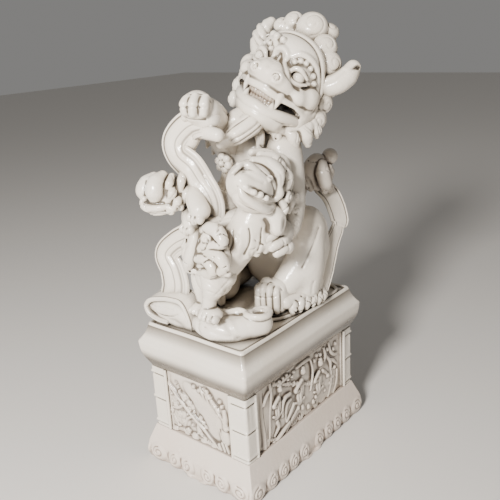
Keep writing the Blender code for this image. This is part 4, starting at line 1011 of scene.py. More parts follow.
def banner(name, path, looks, widths, front, thick=2.4, nodes=()):
    """Silk band swept along a path, its front turned to looks: front holds (place across, height) pairs."""
    across, per_span = 36, 9
    path, looks = spline(path, per_span), unit(spline(looks, per_span))
    widths = along(widths, len(path))
    run = unit(np.gradient(path, axis=0))
    out = unit(looks - run * (looks * run).sum(axis=1)[:, None])
    side = np.cross(run, out)
    places, heights = np.array(front, float).T
    s = np.linspace(-1, 1, across)
    h = np.interp(s, places, heights)
    h = np.convolve(np.pad(h, 1, mode="edge"), (0.25, 0.5, 0.25), mode="valid")
    round_off = np.sqrt(np.clip(1 - np.abs(s) ** 12, 0, 1))
    top = h * round_off
    back = -thick * round_off
    ring_s = np.concatenate([s, s[::-1]])
    ring_h = np.concatenate([top, back[::-1]])
    # Painted shade: the front darkens in its hollow bends, and the back is a little darker all over.
    bend = np.gradient(np.gradient(h, s), s)
    shade = 0.5 + np.clip(bend * 0.0016, -0.06, 0.09)
    ring_c = np.concatenate([shade, np.full(across, 0.53)])
    rows = path[:, None] + side[:, None] * (ring_s * 0.5)[None, :, None] * widths[:, None, None]
    rows = rows + out[:, None] * ring_h[None, :, None]
    middle = rows.mean(axis=1, keepdims=True)
    caps = [middle[:1] + (rows[:1] - middle[:1]) * k - run[0] * 1.2 * (1 - k) for k in (0.02, 0.7)]
    ends = [middle[-1:] + (rows[-1:] - middle[-1:]) * k + run[-1] * 1.2 * (1 - k) for k in (0.7, 0.02)]
    rows = np.concatenate(caps + [rows] + ends)
    piece(loft(name, rows, np.tile(ring_c, (len(rows), 1))), *nodes)


SILK = ((-1.0, 0.6), (-0.9, 2.2), (-0.74, 1.2), (-0.5, 0.9), (-0.34, 1.7), (-0.2, 2.6), (-0.1, 2.2),
        (0.2, 3.3), (0.5, 3.2), (0.72, 1.7), (0.82, 1.2), (0.92, 2.4), (1.0, 0.8))
PLAIN = ((-1.0, 1.0), (-0.9, 2.6), (-0.75, 1.2), (0.0, 1.8), (0.75, 1.2), (0.9, 2.6), (1.0, 1.0))
OUT = (-1.0, -0.25, 0.1)


def build_ribbon():
    banner("silk_main", [(-54, -16, 303), (-57, -8, 304), (-60, 4, 302), (-63, 15, 291), (-64, 13, 280),
                         (-63, 2, 271), (-61, -4, 260), (-59.5, -13, 248), (-58.5, -13, 235), (-60, -5, 224),
                         (-62, 9, 215), (-64, 26, 206), (-66, 36, 195), (-67, 29, 183), (-67, 27, 170),
                         (-67, 31, 158), (-66, 36, 148)], [(-1, -0.3, 0.7), (-1, -0.25, 0.6),
                                                           OUT, OUT, (-1, -0.2, -0.1), OUT, (-1, -0.5, 0.1),
                                                           (-1, -0.4, 0.1), OUT, (-1, 0, 0.3), (-1, 0, 0.3),
                                                           (-1, 0.1, 0.1), OUT, OUT, OUT, OUT, OUT],
           (16, 20, 24, 25, 25, 25, 24, 20.5, 21, 24, 24, 22, 22, 25, 27, 26, 22),
           SILK, nodes=("ribbon_upper", "ribbon_middle", "ribbon_column"))
    behind = Clay((-72, -34, 196), (-40, 46, 312))
    behind.rope([(-56, -3, 297), (-56, -12, 297.5), (-56, -22, 296)], (4.5, 5.6, 5.0), 1)
    behind.rope([(-57, 2, 292), (-58, 6, 282), (-57, -2, 272)], (5, 4, 3), 1.5)
    behind.rope([(-56, 10, 287), (-58, 3, 276), (-57, -8, 264)], (3.4, 3.4, 2.8), 1)
    behind.rope([(-56, -10, 262), (-55, -16, 248), (-55, -16, 234), (-58, -12, 222)], (2.4, 2.8, 2.8, 2.2), 1)
    behind.rope([(-56, -2, 262), (-53, -6, 246), (-54, -2, 234)], (4, 4.5, 4), 2)
    piece(behind.skin("silk_folds_behind"))

    banner("silk_loop", [(-69, 33, 136), (-70, 44, 137.5), (-70, 53, 141), (-70, 56, 149), (-70, 50, 156),
                         (-69, 40, 160), (-68, 27, 162), (-68, 14, 161), (-69, 7, 153), (-69, 5, 142),
                         (-68, 8, 135)], [(-0.2, 0.3, -1), (-0.2, 0.6, -1), (-0.2, 1, -0.6), (-0.2, 1, 0.2),
                                          (-0.2, 0.7, 1), (-0.2, 0.2, 1), (-0.2, 0, 1), (-0.2, -0.6, 1),
                                          (-0.2, -1, 0.2), (-0.2, -1, 0), (-0.2, -1, 0)],
           (15, 17, 19, 20, 21, 21, 21, 20, 18, 14, 9), PLAIN, nodes=("ribbon_loop",))

    roll = Clay((-88, -6, 131), (-52, 64, 166))
    roll.rope([(-70, 50, 149), (-69.5, 40, 149), (-69, 27, 150), (-69, 15, 148), (-68, 10, 142)],
              (6.5, 9.0, 10.0, 9.5, 8), 2)
    roll.rope([(-70, 42, 140), (-68, 24, 139), (-67, 8, 139)], (5, 7, 6), 3)
    roll.groove([(-79, 52, 146), (-80, 44, 143), (-80, 34, 142), (-79, 24, 145), (-79, 16, 150)],
                1.2, 0.8, 0.8)
    roll.groove([(-78, 50, 152), (-80, 42, 152), (-80, 32, 153), (-79, 22, 153)], 1.0, 0.6, 0.8)
    piece(roll.skin("silk_roll"))

    fold = Clay((-88, -62, 131), (-26, 34, 168))
    fold.rope([(-66, 6, 143), (-69, -6, 142), (-69.5, -17, 141.5), (-65, -28, 141), (-58, -35, 141)],
              (7, 9, 10, 9.5, 8.5), 3)
    fold.rope([(-56, -35, 142.5), (-50, -40, 143), (-44, -43, 143.5), (-41, -41, 144)],
              (9.5, 10.5, 10.5, 9.5), 2)
    fold.ball((-56, -18, 144), (13, 17, 9), soft=4)
    fold.ball((-46, -36, 146), (9, 9, 8), soft=3)
    fold.rope([(-67, 1, 149), (-73, -10, 149), (-72, -21, 148), (-66, -30, 147)], (1.8, 2.6, 2.6, 1.6), 2)
    fold.rope([(-62, -18, 151.5), (-56, -23, 153), (-51, -28, 153), (-50, -33, 152.5), (-54, -40, 153),
               (-50, -49, 152.5), (-42, -51, 152), (-35, -46, 152), (-34, -39, 152), (-40, -35, 152.5)],
              (2.2, 3.2, 3.2, 2.6, 2.4, 2.6, 2.6, 2.6, 2.2, 1.4), 1.6)
    fold.ball((-59, -27, 156), (5.5, 8.0, 4.5), turn=35, soft=3.5, carve=True)
    fold.ball((-43.5, -42.5, 154), (5.8, 5.0, 5.0), soft=1.0, carve=True)
    fold.groove([(-68, -27, 151), (-70, -33, 146), (-67, -38, 138)], 1.9, 0.9, 2.5)
    fold.groove([(-64, 6, 150), (-70, -4, 146), (-74, -8, 141)], 1.6, 0.9, 2)
    fold.groove([(-78, -14, 146), (-77, -24, 143), (-70, -33, 140)], 1.4, 0.6, 2)
    fold.trim(133.4)
    piece(fold.skin("silk_scroll"), "ribbon_scroll", "ribbon_fold")
    strip = Clay((-82, 4, 130), (-46, 62, 165))
    strip.rope([(-60, 50, 135), (-62, 38, 135.5), (-62, 28, 136), (-60, 16, 136)], (3.2, 5.0, 5.0, 4.0), 2)
    strip.rope([(-60, 46, 150), (-60, 36, 154), (-60, 24, 156), (-61, 14, 154)], (2, 3, 3, 2), 2)
    strip.groove([(-63, 44, 140), (-64, 30, 141), (-63, 16, 140)], 1.2, 0.7)
    piece(strip.skin("silk_back_folds"))


# ---------------------------------------------------------------- cubs

def build_front_cub():
    head = Clay((-84, -74, 236), (-12, -20, 290))
    head.ball((-44.5, -42, 259.5), (20.5, 18, 18), tilt=10, soft=3)
    head.ball((-33, -42, 258), 17, soft=4)
    head.ball((-59, -46, 264.5), (7.5, 7, 6.5), soft=5)
    head.rope([(-63, -47, 266), (-63, -50.5, 260.5), (-60, -54, 257.5), (-54, -57, 252.5), (-46, -58, 248.5),
               (-38, -57, 246)], (1.4, 2.6, 2.8, 2.8, 2.6, 2.0), 2)
    for at, r in (((-60, -57.5, 257.5), 2.2), ((-55.5, -59.5, 255), 2.4), ((-51, -61, 251.5), 2.4),
                  ((-63, -53, 261.5), 1.8)):
        head.ball(at, r, soft=1.2)
    head.groove([(-66, -47, 262), (-64, -52, 257.5), (-60, -56, 253.5), (-53, -60, 248.5), (-45, -61, 245),
                 (-37, -59, 243)], 1.1, 0.8, 0.7)
    head.ball((-43.5, -59, 264.5), 2.7, soft=0.7)
    head.groove([(-53, -50, 276), (-49, -55, 273), (-45.5, -58.5, 268), (-41.5, -60, 261), (-38.5, -60, 254),
                 (-36, -58, 247)], 1.0, 0.8, 0.7)
    for points, radii in (
            ([(-45, -46, 277), (-37, -54, 274), (-32.5, -58.5, 267), (-32, -59, 259)], (3.2, 5.0, 5.6, 3.6)),
            ([(-33, -58.5, 256), (-33, -59.5, 251), (-36, -58, 247)], (3.0, 3.8, 2.4)),
            ([(-58, -42, 276), (-54, -49, 275), (-50, -53, 271)], (2.0, 3.0, 2.0))):
        head.rope(points, radii, 1.2)
    head.groove([(-60, -48, 271), (-56, -53, 267), (-50, -57, 263)], 1.6, 0.3, 2.0)
    head.groove([(-40, -55, 275), (-34, -61, 267), (-33, -62, 258)], 1.0, 0.4, 1.0)
    head.rope([(-55, -46, 277), (-62, -46, 275.5), (-67, -44, 272)], (1.2, 1.7, 1.3), 0.8)
    piece(head.skin("cub_head_front"), "cub_front_head")

    jaw = Clay((-82, -68, 224), (-16, -26, 268))
    jaw.ball((-46, -45, 248), (20, 14, 11), tilt=20, soft=3)
    jaw.rope([(-65, -48, 261), (-64.5, -50.5, 255.5), (-61, -54, 250.5), (-54, -57, 245), (-46, -58, 241),
              (-37, -56, 241)], (1.8, 3.0, 3.2, 3.4, 3.2, 2.6), 2.5)
    jaw.groove([(-66, -46, 250), (-58, -52, 243.5), (-50, -55, 239), (-42, -56, 237)], 1.2, 0.6)
    piece(jaw.skin("cub_jaw_front"), "cub_front_jaw")

    mane = Clay((-40, -72, 226), (8, -18, 292))
    mane.ball((-22, -41, 258), (14, 15, 18), soft=3)
    for points, radii in (
            ([(-34, -44, 279), (-27, -50, 276), (-23, -55, 270)], (3.4, 4.8, 3.6)),
            ([(-24, -56, 268), (-20, -58, 261), (-21, -58, 254)], (3.8, 5.0, 3.4)),
            ([(-24, -56, 252), (-22, -58, 246), (-26, -58, 240)], (3.4, 4.2, 2.6)),
            ([(-22, -44, 277), (-14, -49, 271), (-11, -51, 264)], (4.0, 5.4, 3.8)),
            ([(-14, -49, 262), (-9, -50, 254), (-12, -50, 246)], (4.0, 5.4, 3.8)),
            ([(-18, -54, 248), (-15, -56, 240), (-19, -57, 233)], (3.6, 4.4, 2.4)),
            ([(-24, -28, 278), (-10, -34, 274), (-2, -38, 262), (-1, -38, 250)], (3.4, 4.6, 4.8, 3.2)),
            ([(-30, -58, 244), (-28, -60, 238), (-31, -59, 232)], (3.2, 3.8, 2.2))):
        hair_lock(mane, points, radii, 1, 0.9, 0.3)
    for x, y, z in ((-10, -53, 242), (-24, -61, 246), (-16, -56, 258), (-27, -54, 274)):
        mane.curl((x, y, z), (0.2, -1, -0.2), 4.4, 1.1, 80, 1, 0.8, 0.7, 1.2, 0.8)
    piece(mane.skin("cub_mane_front"), "cub_front_mane")

    body = Clay((-86, -64, 160), (-12, 16, 262))
    body.rope([(-62, -12, 186), (-58, -20, 196), (-50, -29, 210), (-42, -37, 226), (-33, -41, 242)],
              (13.5, 15.5, 15.5, 15.5, 14), 3)
    body.ball((-64, -16, 184), (13, 16, 15), soft=4)
    body.rope([(-36, -50, 238), (-34, -56, 231), (-36, -58, 224)], (8, 8, 6), 3)
    for points in ([(-54, -36, 222), (-58, -38, 214), (-61, -37, 207)],
                   [(-48, -42, 220), (-51, -44, 212), (-54, -42, 204)],
                   [(-60, -29, 214), (-64, -31, 208), (-67, -29, 202)],
                   [(-43, -47, 220), (-45, -48, 212), (-47, -46, 204)],
                   [(-39, -50, 218), (-39, -51, 211), (-40, -49, 205)]):
        hair_lock(body, points, (4.6, 4.4, 2.2), 2, 3.5)
    for points in ([(-58, -34, 224), (-64, -36, 215), (-68, -33, 206)],
                   [(-50, -42, 226), (-55, -46, 216), (-58, -43, 207)],
                   [(-45, -48, 226), (-48, -52, 217), (-50, -50, 208)],
                   [(-66, -28, 214), (-71, -29, 206), (-73, -25, 199)]):
        body.groove(points, 1.0, 0.9, 0.8)
    body.groove([(-44, -52, 232), (-40, -54, 222), (-42, -54, 214)], 1.6, 0.4, 2.0)
    piece(body.skin("cub_body_front"), "cub_front_body")

    tail = Clay((-88, -52, 182), (-50, 14, 236))
    tail.ball((-70, -18, 206), (9.5, 20, 18), soft=3)
    tail.ball((-71, -26, 211), (6, 10, 12), soft=3)
    for points, radii in (
            ([(-68, -10, 222), (-72, -20, 228), (-74, -31, 228), (-76, -37, 221), (-77, -29, 217),
              (-77, -20, 215), (-76, -12, 209)], (4.2, 5.2, 5.4, 5.0, 4.6, 4.4, 3.0)),
            ([(-68, -2, 222), (-74, -8, 221), (-77, -7, 211), (-78, -4, 202), (-76, 0, 194), (-74, -8, 191)],
             (4.2, 5.0, 5.6, 5.6, 4.6, 3.0)),
            ([(-74, -15, 208), (-78, -26, 211), (-80, -37, 210), (-79, -41, 203), (-78, -36, 198),
              (-77, -42, 197)], (4.0, 4.8, 5.0, 4.6, 3.8, 2.6)),
            ([(-77, -12, 204), (-79, -22, 205), (-80, -29, 201), (-79, -27, 195), (-77, -19, 193),
              (-75, -11, 191)], (4.0, 4.8, 4.8, 4.2, 4.2, 3.0)),
            ([(-66, 4, 216), (-70, 6, 208), (-71, 4, 198), (-70, -2, 190)], (4, 5, 5, 3.4))):
        hair_lock(tail, points, radii, 2, 0.7, 0.4)
    tail.curl((-76, -22, 221), (-1, -0.2, 0.2), 5.4, 1.1, 60, 1, 0.9, 0.7, 1.0, 0.9)
    piece(tail.skin("cub_tail_front"), "cub_front_tail")

    leg = Clay((-90, -36, 146), (-54, 2, 204))
    leg.rope([(-66, -18, 192), (-70, -20.5, 182), (-72.5, -17.5, 171.5), (-72.5, -14.5, 161)],
             (13, 10.5, 5.8, 5.4), 2)
    leg.ball((-62.5, -26, 188), (9, 9, 10.5), soft=3)
    leg.ball((-74, -18, 157.5), (8.5, 10.5, 5.4), soft=2)
    for dy in (-27, -22.5, -17.5, -12.5):
        leg.ball((-80.5 + abs(dy + 20) * 0.25, dy, 156.0), (4.2, 2.7, 3.4), soft=0.8)
    for dy in (-25, -20, -15):
        leg.groove([(-80, dy, 159.5), (-84, dy, 156), (-83, dy, 153.5)], 0.7, 0.8, 0.4)
    for y, z in ((-27, 184), (-26, 178)):
        leg.groove([(-80, y + 4, z + 2), (-79, y, z), (-74, y - 3, z - 3)], 0.9, 0.6)
    leg.groove([(-62, -30, 190), (-72, -32, 182), (-78, -28, 175)], 1.0, 0.5)
    piece(leg.skin("cub_leg_left"), "cub_front_hind_leg_left")

    other = Clay((-78, -12, 142), (-44, 18, 202))
    other.rope([(-56, 0, 196), (-60, 3, 180), (-60, 2, 164), (-59, 2, 156)], (10, 8.6, 6.8, 6), 2)
    other.ball((-65, 3, 154), (8, 7, 5), soft=2)
    for y in (-1, 3, 7):
        other.ball((-71, y, 153), (3.4, 2.3, 3), soft=0.7)
    piece(other.skin("cub_leg_right"), "cub_front_hind_leg_right")

    arm = Clay((-76, -52, 214), (-26, 0, 250))
    arm.rope([(-34, -38, 236), (-44, -28, 231), (-52, -20, 229), (-58, -15, 228)], (8.5, 7.6, 6.8, 6.2), 2)
    arm.ball((-63, -13, 228), (6.5, 8, 6), soft=2)
    for y in (-18, -13.5, -9):
        arm.ball((-68, y, 226.5), (3.4, 2.5, 3.6), soft=0.6)
    arm.groove([(-48, -34, 234), (-54, -27, 232), (-60, -22, 231)], 1.0, 0.6)
    piece(arm.skin("cub_arm_front"), "cub_front_foreleg")


def build_left_cub():
    head = Clay((-98, -10, 226), (-42, 58, 282))
    head.ball((-70, 23, 250), (15.5, 19, 15.5), soft=3)
    head.ball((-75, 28, 251), (11, 13, 13), soft=4)
    head.ball((-78, 27, 242), (9, 13, 5.5), soft=2.5)
    for points, radii in (
            ([(-75, 31, 263), (-81, 32.5, 259), (-84, 33, 254), (-83, 31, 247)], (4.4, 7.0, 7.4, 4.2)),
            ([(-75, 21, 265), (-82, 21, 261), (-85, 20.5, 255), (-84, 22, 247)], (4.4, 7.2, 7.6, 4.0))):
        head.rope(points, radii, 0.7)
    for points, radii in (
            ([(-72, 14, 265), (-79, 10, 261), (-80, 12, 256)], (2.6, 3.4, 2.0)),
            ([(-74, 11, 257), (-80, 7, 254), (-80, 10, 249)], (2.6, 3.6, 2.0)),
            ([(-72, 8, 250), (-78, 4, 247), (-79, 7, 242)], (2.8, 3.6, 2.2)),
            ([(-64, 10, 266), (-71, 5, 262), (-73, 5, 255)], (2.8, 3.6, 2.2)),
            ([(-64, 5, 256), (-71, 1, 252), (-72, 3, 246)], (2.8, 3.4, 2.2)),
            ([(-70, 40, 256), (-77, 40, 254), (-80, 39, 250)], (2.4, 3.4, 2.4)),
            ([(-79, 41, 246), (-85, 35, 243), (-87, 28, 241.5), (-85, 19, 242), (-79, 11, 243)],
             (2.4, 3.6, 3.6, 3.4, 2.4)),
            ([(-76, 36, 239), (-82, 29, 237.5), (-82, 20, 238.5), (-77, 11, 240)], (2.6, 3.2, 3.2, 2.2))):
        hair_lock(head, points, radii, 1, 0.9, 0.4)
    head.rope([(-86, 36, 246.5), (-90, 29, 245.5), (-88, 21, 246), (-83, 14, 246.5)], (0.8, 1.3, 1.3, 0.8),
              0.7, True)
    for at in ((-84, 27, 264), (-91, 27, 250), (-88, 33, 246)):
        head.ball(at, 2.2, soft=0.8)
    for at in ((-75, 5, 243), (-80, 11, 240)):
        head.curl(at, (-1, -0.2, -0.3), 4.0, 1.1, 40, 1, 0.8, 0.7, 1.2, 0.8)
    piece(head.skin("cub_head_left"), "cub_left_head")
    for name, node, points, radii, toes in (
            ("cub_paw_high", "cub_left_paw_upper",
             [(-62, 4, 252), (-68, -5, 248), (-72, -13, 241)], (7.0, 7.6, 8.2),
             ((-77, -7.5, 236), (-78, -12.5, 235), (-77, -17.5, 236))),
            ("cub_paw_low", "cub_left_paw_lower",
             [(-62, 8, 238), (-68, 2, 234), (-72, -3, 229.5)], (6.0, 6.8, 7.4),
             ((-77, 1.5, 226), (-78, -3, 225), (-77, -7.5, 226)))):
        clay = Clay((-92, -30, 214), (-54, 18, 264))
        clay.rope(points, radii, 2)
        for toe_at in toes:
            clay.ball(toe_at, (3.8, 3.0, 4.0), soft=1.0)
        for a, b in zip(toes, toes[1:]):
            x, y, z = ((p + q) / 2 for p, q in zip(a, b))
            clay.groove([(x - 3.5, y, z + 3), (x - 4, y, z), (x - 2.5, y, z - 3)], 0.7, 0.7, 0.4)
        (ax, ay, az), (bx, by, bz) = points[1:]
        clay.groove([(ax - 7, ay + 3, az + 3), (bx - 7, by + 4, bz + 1)], 1.0, 0.4)
        piece(clay.skin(name), node)
    body = Clay((-80, -30, 222), (-28, 44, 270))
    body.rope([(-62, 24, 249), (-58, 10, 245), (-50, -4, 242), (-40, -16, 238)], (12, 12, 11.5, 10), 3)
    for points in ([(-66, 18, 258), (-64, 8, 256), (-58, -2, 253)], [(-70, 14, 246), (-66, 4, 243),
                                                                     (-58, -6, 240)]):
        body.groove(points, 1.2, 0.8)
    piece(body.skin("cub_body_left"), "cub_left_body")


# ---------------------------------------------------------------- limbs and body of the adult

def build_paws():
    paw = Clay((-44, -58, 131), (28, -4, 180))
    paw.ball((0, -28, 150), (14, 14, 14), turn=45, soft=4)
    for x, y, top in ((-20, -23.5, 161), (-19, -28, 162.5), (-16.8, -32.7, 161.5), (-13.6, -37.2, 159.5)):
        paw.rope([(x + 7.5, y + 2.5, top - 4), (x + 7, y + 2.5, 142)], (6.4, 6.4), 3)
        paw.rope([(x + 6, y + 2, top + 0.5), (x + 1.5, y + 0.5, top - 0.5), (x, y, top - 4.5),
                  (x, y, top - 13), (x + 0.8, y, 140)], (2.4, 3.0, 3.2, 3.2, 2.6), 0.7)
    for x, y in ((-22.5, -27), (-21, -31.8), (-18, -36.6)):
        paw.groove([(x, y, 158), (x, y, 150), (x, y, 142)], 0.8, 0.5, 0.5)
    paw.groove([(-23, -20, 155.5), (-23, -27, 154.5), (-20, -34, 154.5), (-15, -40, 156)], 1.0, 0.7, 0.6)
    paw.groove([(-14, -20, 163), (-11, -27, 165), (-9, -34, 163), (-8, -40, 159)], 1.1, 0.9, 0.7)
    paw.ball((-2, -31, 160), (9, 9, 6), soft=3)
    paw.ball((-9, -24, 164), (5, 5, 3.5), soft=1.5)
    paw.trim(FEET)
    piece(paw.skin("lion_hind_paw_left"), "hind_paw_left")

    tufts = Clay((-10, -62, 130), (62, -28, 164))
    tufts.rope([(-4, -40, 146), (16, -44, 147), (36, -45, 147), (48, -43, 148)], (6, 6, 6, 4), 2)
    for x, y, high in ((-1, -45, 148), (6.5, -47, 149), (14, -48.5, 148.5), (21.5, -50, 148),
                       (29, -51, 147.5), (36.5, -51, 146)):
        hair_lock(tufts, [(x + 3, y + 2, high), (x + 1, y - 0.5, high - 5), (x - 1, y - 1, 140),
                          (x - 1, y - 0.5, 136)], (2.8, 3.9, 3.8, 2.2), 2, 0.6, 0.5)
    tufts.trim(FEET)
    piece(tufts.skin("lion_heel_tufts_left"), "heel_tufts_left")

    fore = Clay((-56, -72, 194), (0, -30, 236))
    fore.ball((-21, -50, 215), (13, 10.5, 12), turn=16, soft=3)
    for x, y, z in ((-35, -49, 224), (-37.5, -53, 217.5), (-36, -56, 210.5), (-31, -57, 204.5)):
        fore.rope([(-20, y + 0.5, z - 2), (x + 9, y - 1.5, z + 1), (x + 1, y, z), (x - 3, y + 1.5, z - 2)],
                  (4.2, 4.4, 4.4, 3.4), 0.9)
        fore.groove([(x + 4, y - 5, z + 4), (x + 5, y - 6, z), (x + 4, y - 5, z - 4)], 0.8, 0.6, 0.5)
    piece(fore.skin("lion_forepaw_left"), "forepaw_left")

    raised = Clay((-84, -40, 292), (-34, 24, 340))
    raised.ball((-57, -4.5, 316), (12, 12.5, 12.5), soft=3)
    raised.ball((-51, -7, 306), (10.5, 12, 9), soft=3)
    for points in ([(-65, -2.5, 324), (-68.5, -2.5, 319.5), (-68.5, -2.5, 314)],
                   [(-63, -9, 325), (-66.5, -9.5, 319.5), (-67, -9, 313)],
                   [(-58, -14.5, 323.5), (-61.5, -15.5, 319), (-62, -15, 313)]):
        raised.rope(points, (3.0, 4.0, 3.4), 1.2)
        x, y, z = points[1]
        raised.groove([(x - 1, y + 3, z - 2), (x - 4, y - 1, z - 1.6), (x - 1, y - 4, z - 2)], 0.8, 0.6, 0.5)
    raised.groove([(-67, 5, 320), (-66, -1, 326), (-62, -8, 328), (-57, -14, 326), (-53, -17, 320)],
                  1.2, 0.9, 0.8)
    raised.groove([(-69, 2, 308), (-67, -8, 307), (-61, -16, 307)], 1.0, 0.7, 0.8)
    raised.rope([(-48, 6, 314), (-56, 6, 312), (-62, 4, 309)], (5, 4.6, 3.4), 1.2)
    piece(raised.skin("lion_forepaw_right"), "forepaw_right")


def build_legs():
    leg = Clay((-12, -66, 132), (76, -10, 226), step=BROAD)
    leg.rope([(34, -38, 208), (30, -40, 192), (26, -42, 172), (24, -40, 152)], (14, 16, 15.5, 14), 4)
    leg.rope([(22, -40, 176), (10, -35, 162), (2, -30, 154)], (15, 13, 11), 5)
    leg.rope([(40, -36, 200), (44, -38, 184), (42, -40, 166), (38, -42, 150)], (16, 14.5, 11, 8), 5)
    leg.ball((24, -38, 150), (21, 11, 12), turn=-8, soft=5)
    leg.groove([(30, -54, 206), (20, -56, 196), (12, -54, 186), (8, -50, 176)], 1.6, 0.8, 2)
    leg.groove([(52, -48, 196), (50, -52, 182), (48, -52, 168), (44, -52, 156)], 2.4, 1.4, 2.5)
    for x in (18, 30):
        leg.groove([(x, -55, 160), (x - 1, -54, 154), (x, -53, 149)], 1.2, 0.5, 1.5)
    leg.trim(FEET)
    piece(leg.skin("lion_hind_leg_left"), "hind_leg_left")

    far = Clay((-34, 8, 132), (60, 66, 228), step=BROAD)
    far.rope([(30, 38, 206), (20, 40, 186), (14, 39, 164), (0, 31, 150)], (15, 16, 15.5, 13.5), 5)
    far.ball((-8, 27, 148), (15, 14, 13), soft=4)
    far.ball((22, 37, 149), (23, 13, 13), soft=5)
    for y in (17, 24.5, 32, 39):
        far.rope([(-12, y, 159), (-19, y, 156), (-23, y, 150), (-23, y, 140)], (4.0, 4.6, 4.6, 3.6), 0.9)
    for x in (4, 13, 22, 31, 40):
        far.rope([(x + 2, 48, 150), (x, 50.5, 144), (x - 1, 50, 138)], (2.6, 3.4, 2.0), 0.8)
    far.trim(FEET)
    piece(far.skin("lion_hind_leg_right"), "hind_leg_right")

    arm = Clay((-24, -66, 204), (34, -14, 290), step=BROAD)
    arm.rope([(10, -32, 274), (7, -38, 258), (4, -42, 244), (0, -46, 230), (-8, -49, 218)],
             (16, 14.5, 13, 11.5, 10), 3)
    arm.groove([(18, -48, 268), (16, -52, 252), (12, -55, 238)], 1.5, 0.8, 1.5)
    for z, r in ((240, 4.2), (230, 4.6), (221, 4.2)):
        arm.curl((-4 + (240 - z) * -0.25, -54 - (240 - z) * 0.05, z), (-0.3, -1, -0.1), r, 1.1, 90, 1, 0.9,
                 0.6, 1.2, 0.8)
    piece(arm.skin("lion_foreleg_left"), "foreleg_left")

    other = Clay((-66, -26, 256), (34, 32, 332), step=BROAD)
    other.rope([(8, 8, 268), (-10, 8, 283), (-26, 4, 297), (-40, -3, 307), (-50, -7, 312)],
               (18, 15, 12.5, 11.5, 11), 4)
    for points, radii in (([(-14, 16, 296), (-22, 17, 288), (-28, 16, 280)], (4.2, 4.4, 1.4)),
                          ([(-24, 13, 304), (-33, 14, 297), (-39, 12, 289)], (4.0, 4.2, 1.4)),
                          ([(-4, 20, 288), (-10, 22, 280), (-16, 21, 272)], (4.2, 4.4, 1.4))):
        hair_lock(other, points, radii, 2, 1)
    other.groove([(-12, -4, 292), (-26, -8, 304), (-38, -13, 312)], 1.5, 0.8, 1.5)
    piece(other.skin("lion_foreleg_right"), "foreleg_right")


def build_body():
    chest = Clay((-34, -52, 176), (78, 48, 322), step=BROAD)
    chest.rope([(42, 0, 200), (27, -3, 226), (15, -5, 250), (9, -7, 272)], (30, 28, 26, 24), 4)
    chest.ball((6, 2, 276), (19, 20, 20), soft=6)
    chest.rope([(14, -14, 274), (22, -20, 302)], (20, 17), 4)
    for z, drop in ((266, 5), (254, 6), (242, 6), (229, 6), (216, 6)):
        x = -8 + (266 - z) * 0.42
        chest.groove([(x + 9, 18, z + 3), (x + 1, 11, z), (x - 1, 3, z - drop * 0.6),
                      (x + 1, -6, z - drop * 0.3), (x + 6, -14, z + 2)], 1.6, 0.9, 1.6)
    for z in (270, 258, 246, 234, 222, 210):
        chest.curl((48 - (270 - z) * 0.05, 4 * math.sin(z), z), (1, 0, 0.1), 6.5, 1.2, z, 1, 1.0, 0.45, 2,
                   1.0)
    piece(chest.skin("lion_chest"), "chest")

    hips = Clay((6, -52, 130), (88, 54, 224), step=BROAD)
    hips.ball((46, 1, 172), (31, 40, 39), soft=4)
    hips.rope([(32, -34, 198), (52, -20, 178)], (17, 21), 5)
    hips.rope([(32, 34, 198), (52, 20, 178)], (17, 21), 5)
    hips.ball((60, 4, 150), (20, 30, 15), soft=5)
    for points in ([(74, -26, 190), (80, -8, 178), (78, 12, 166)], [(70, -32, 176), (76, -16, 160),
                                                                    (74, 0, 148)],
                   [(66, -8, 206), (78, 4, 196), (80, 20, 182)]):
        hips.groove(points, 1.8, 0.9, 2)
    hips.trim(134.0)
    piece(hips.skin("lion_hips"), "hips")


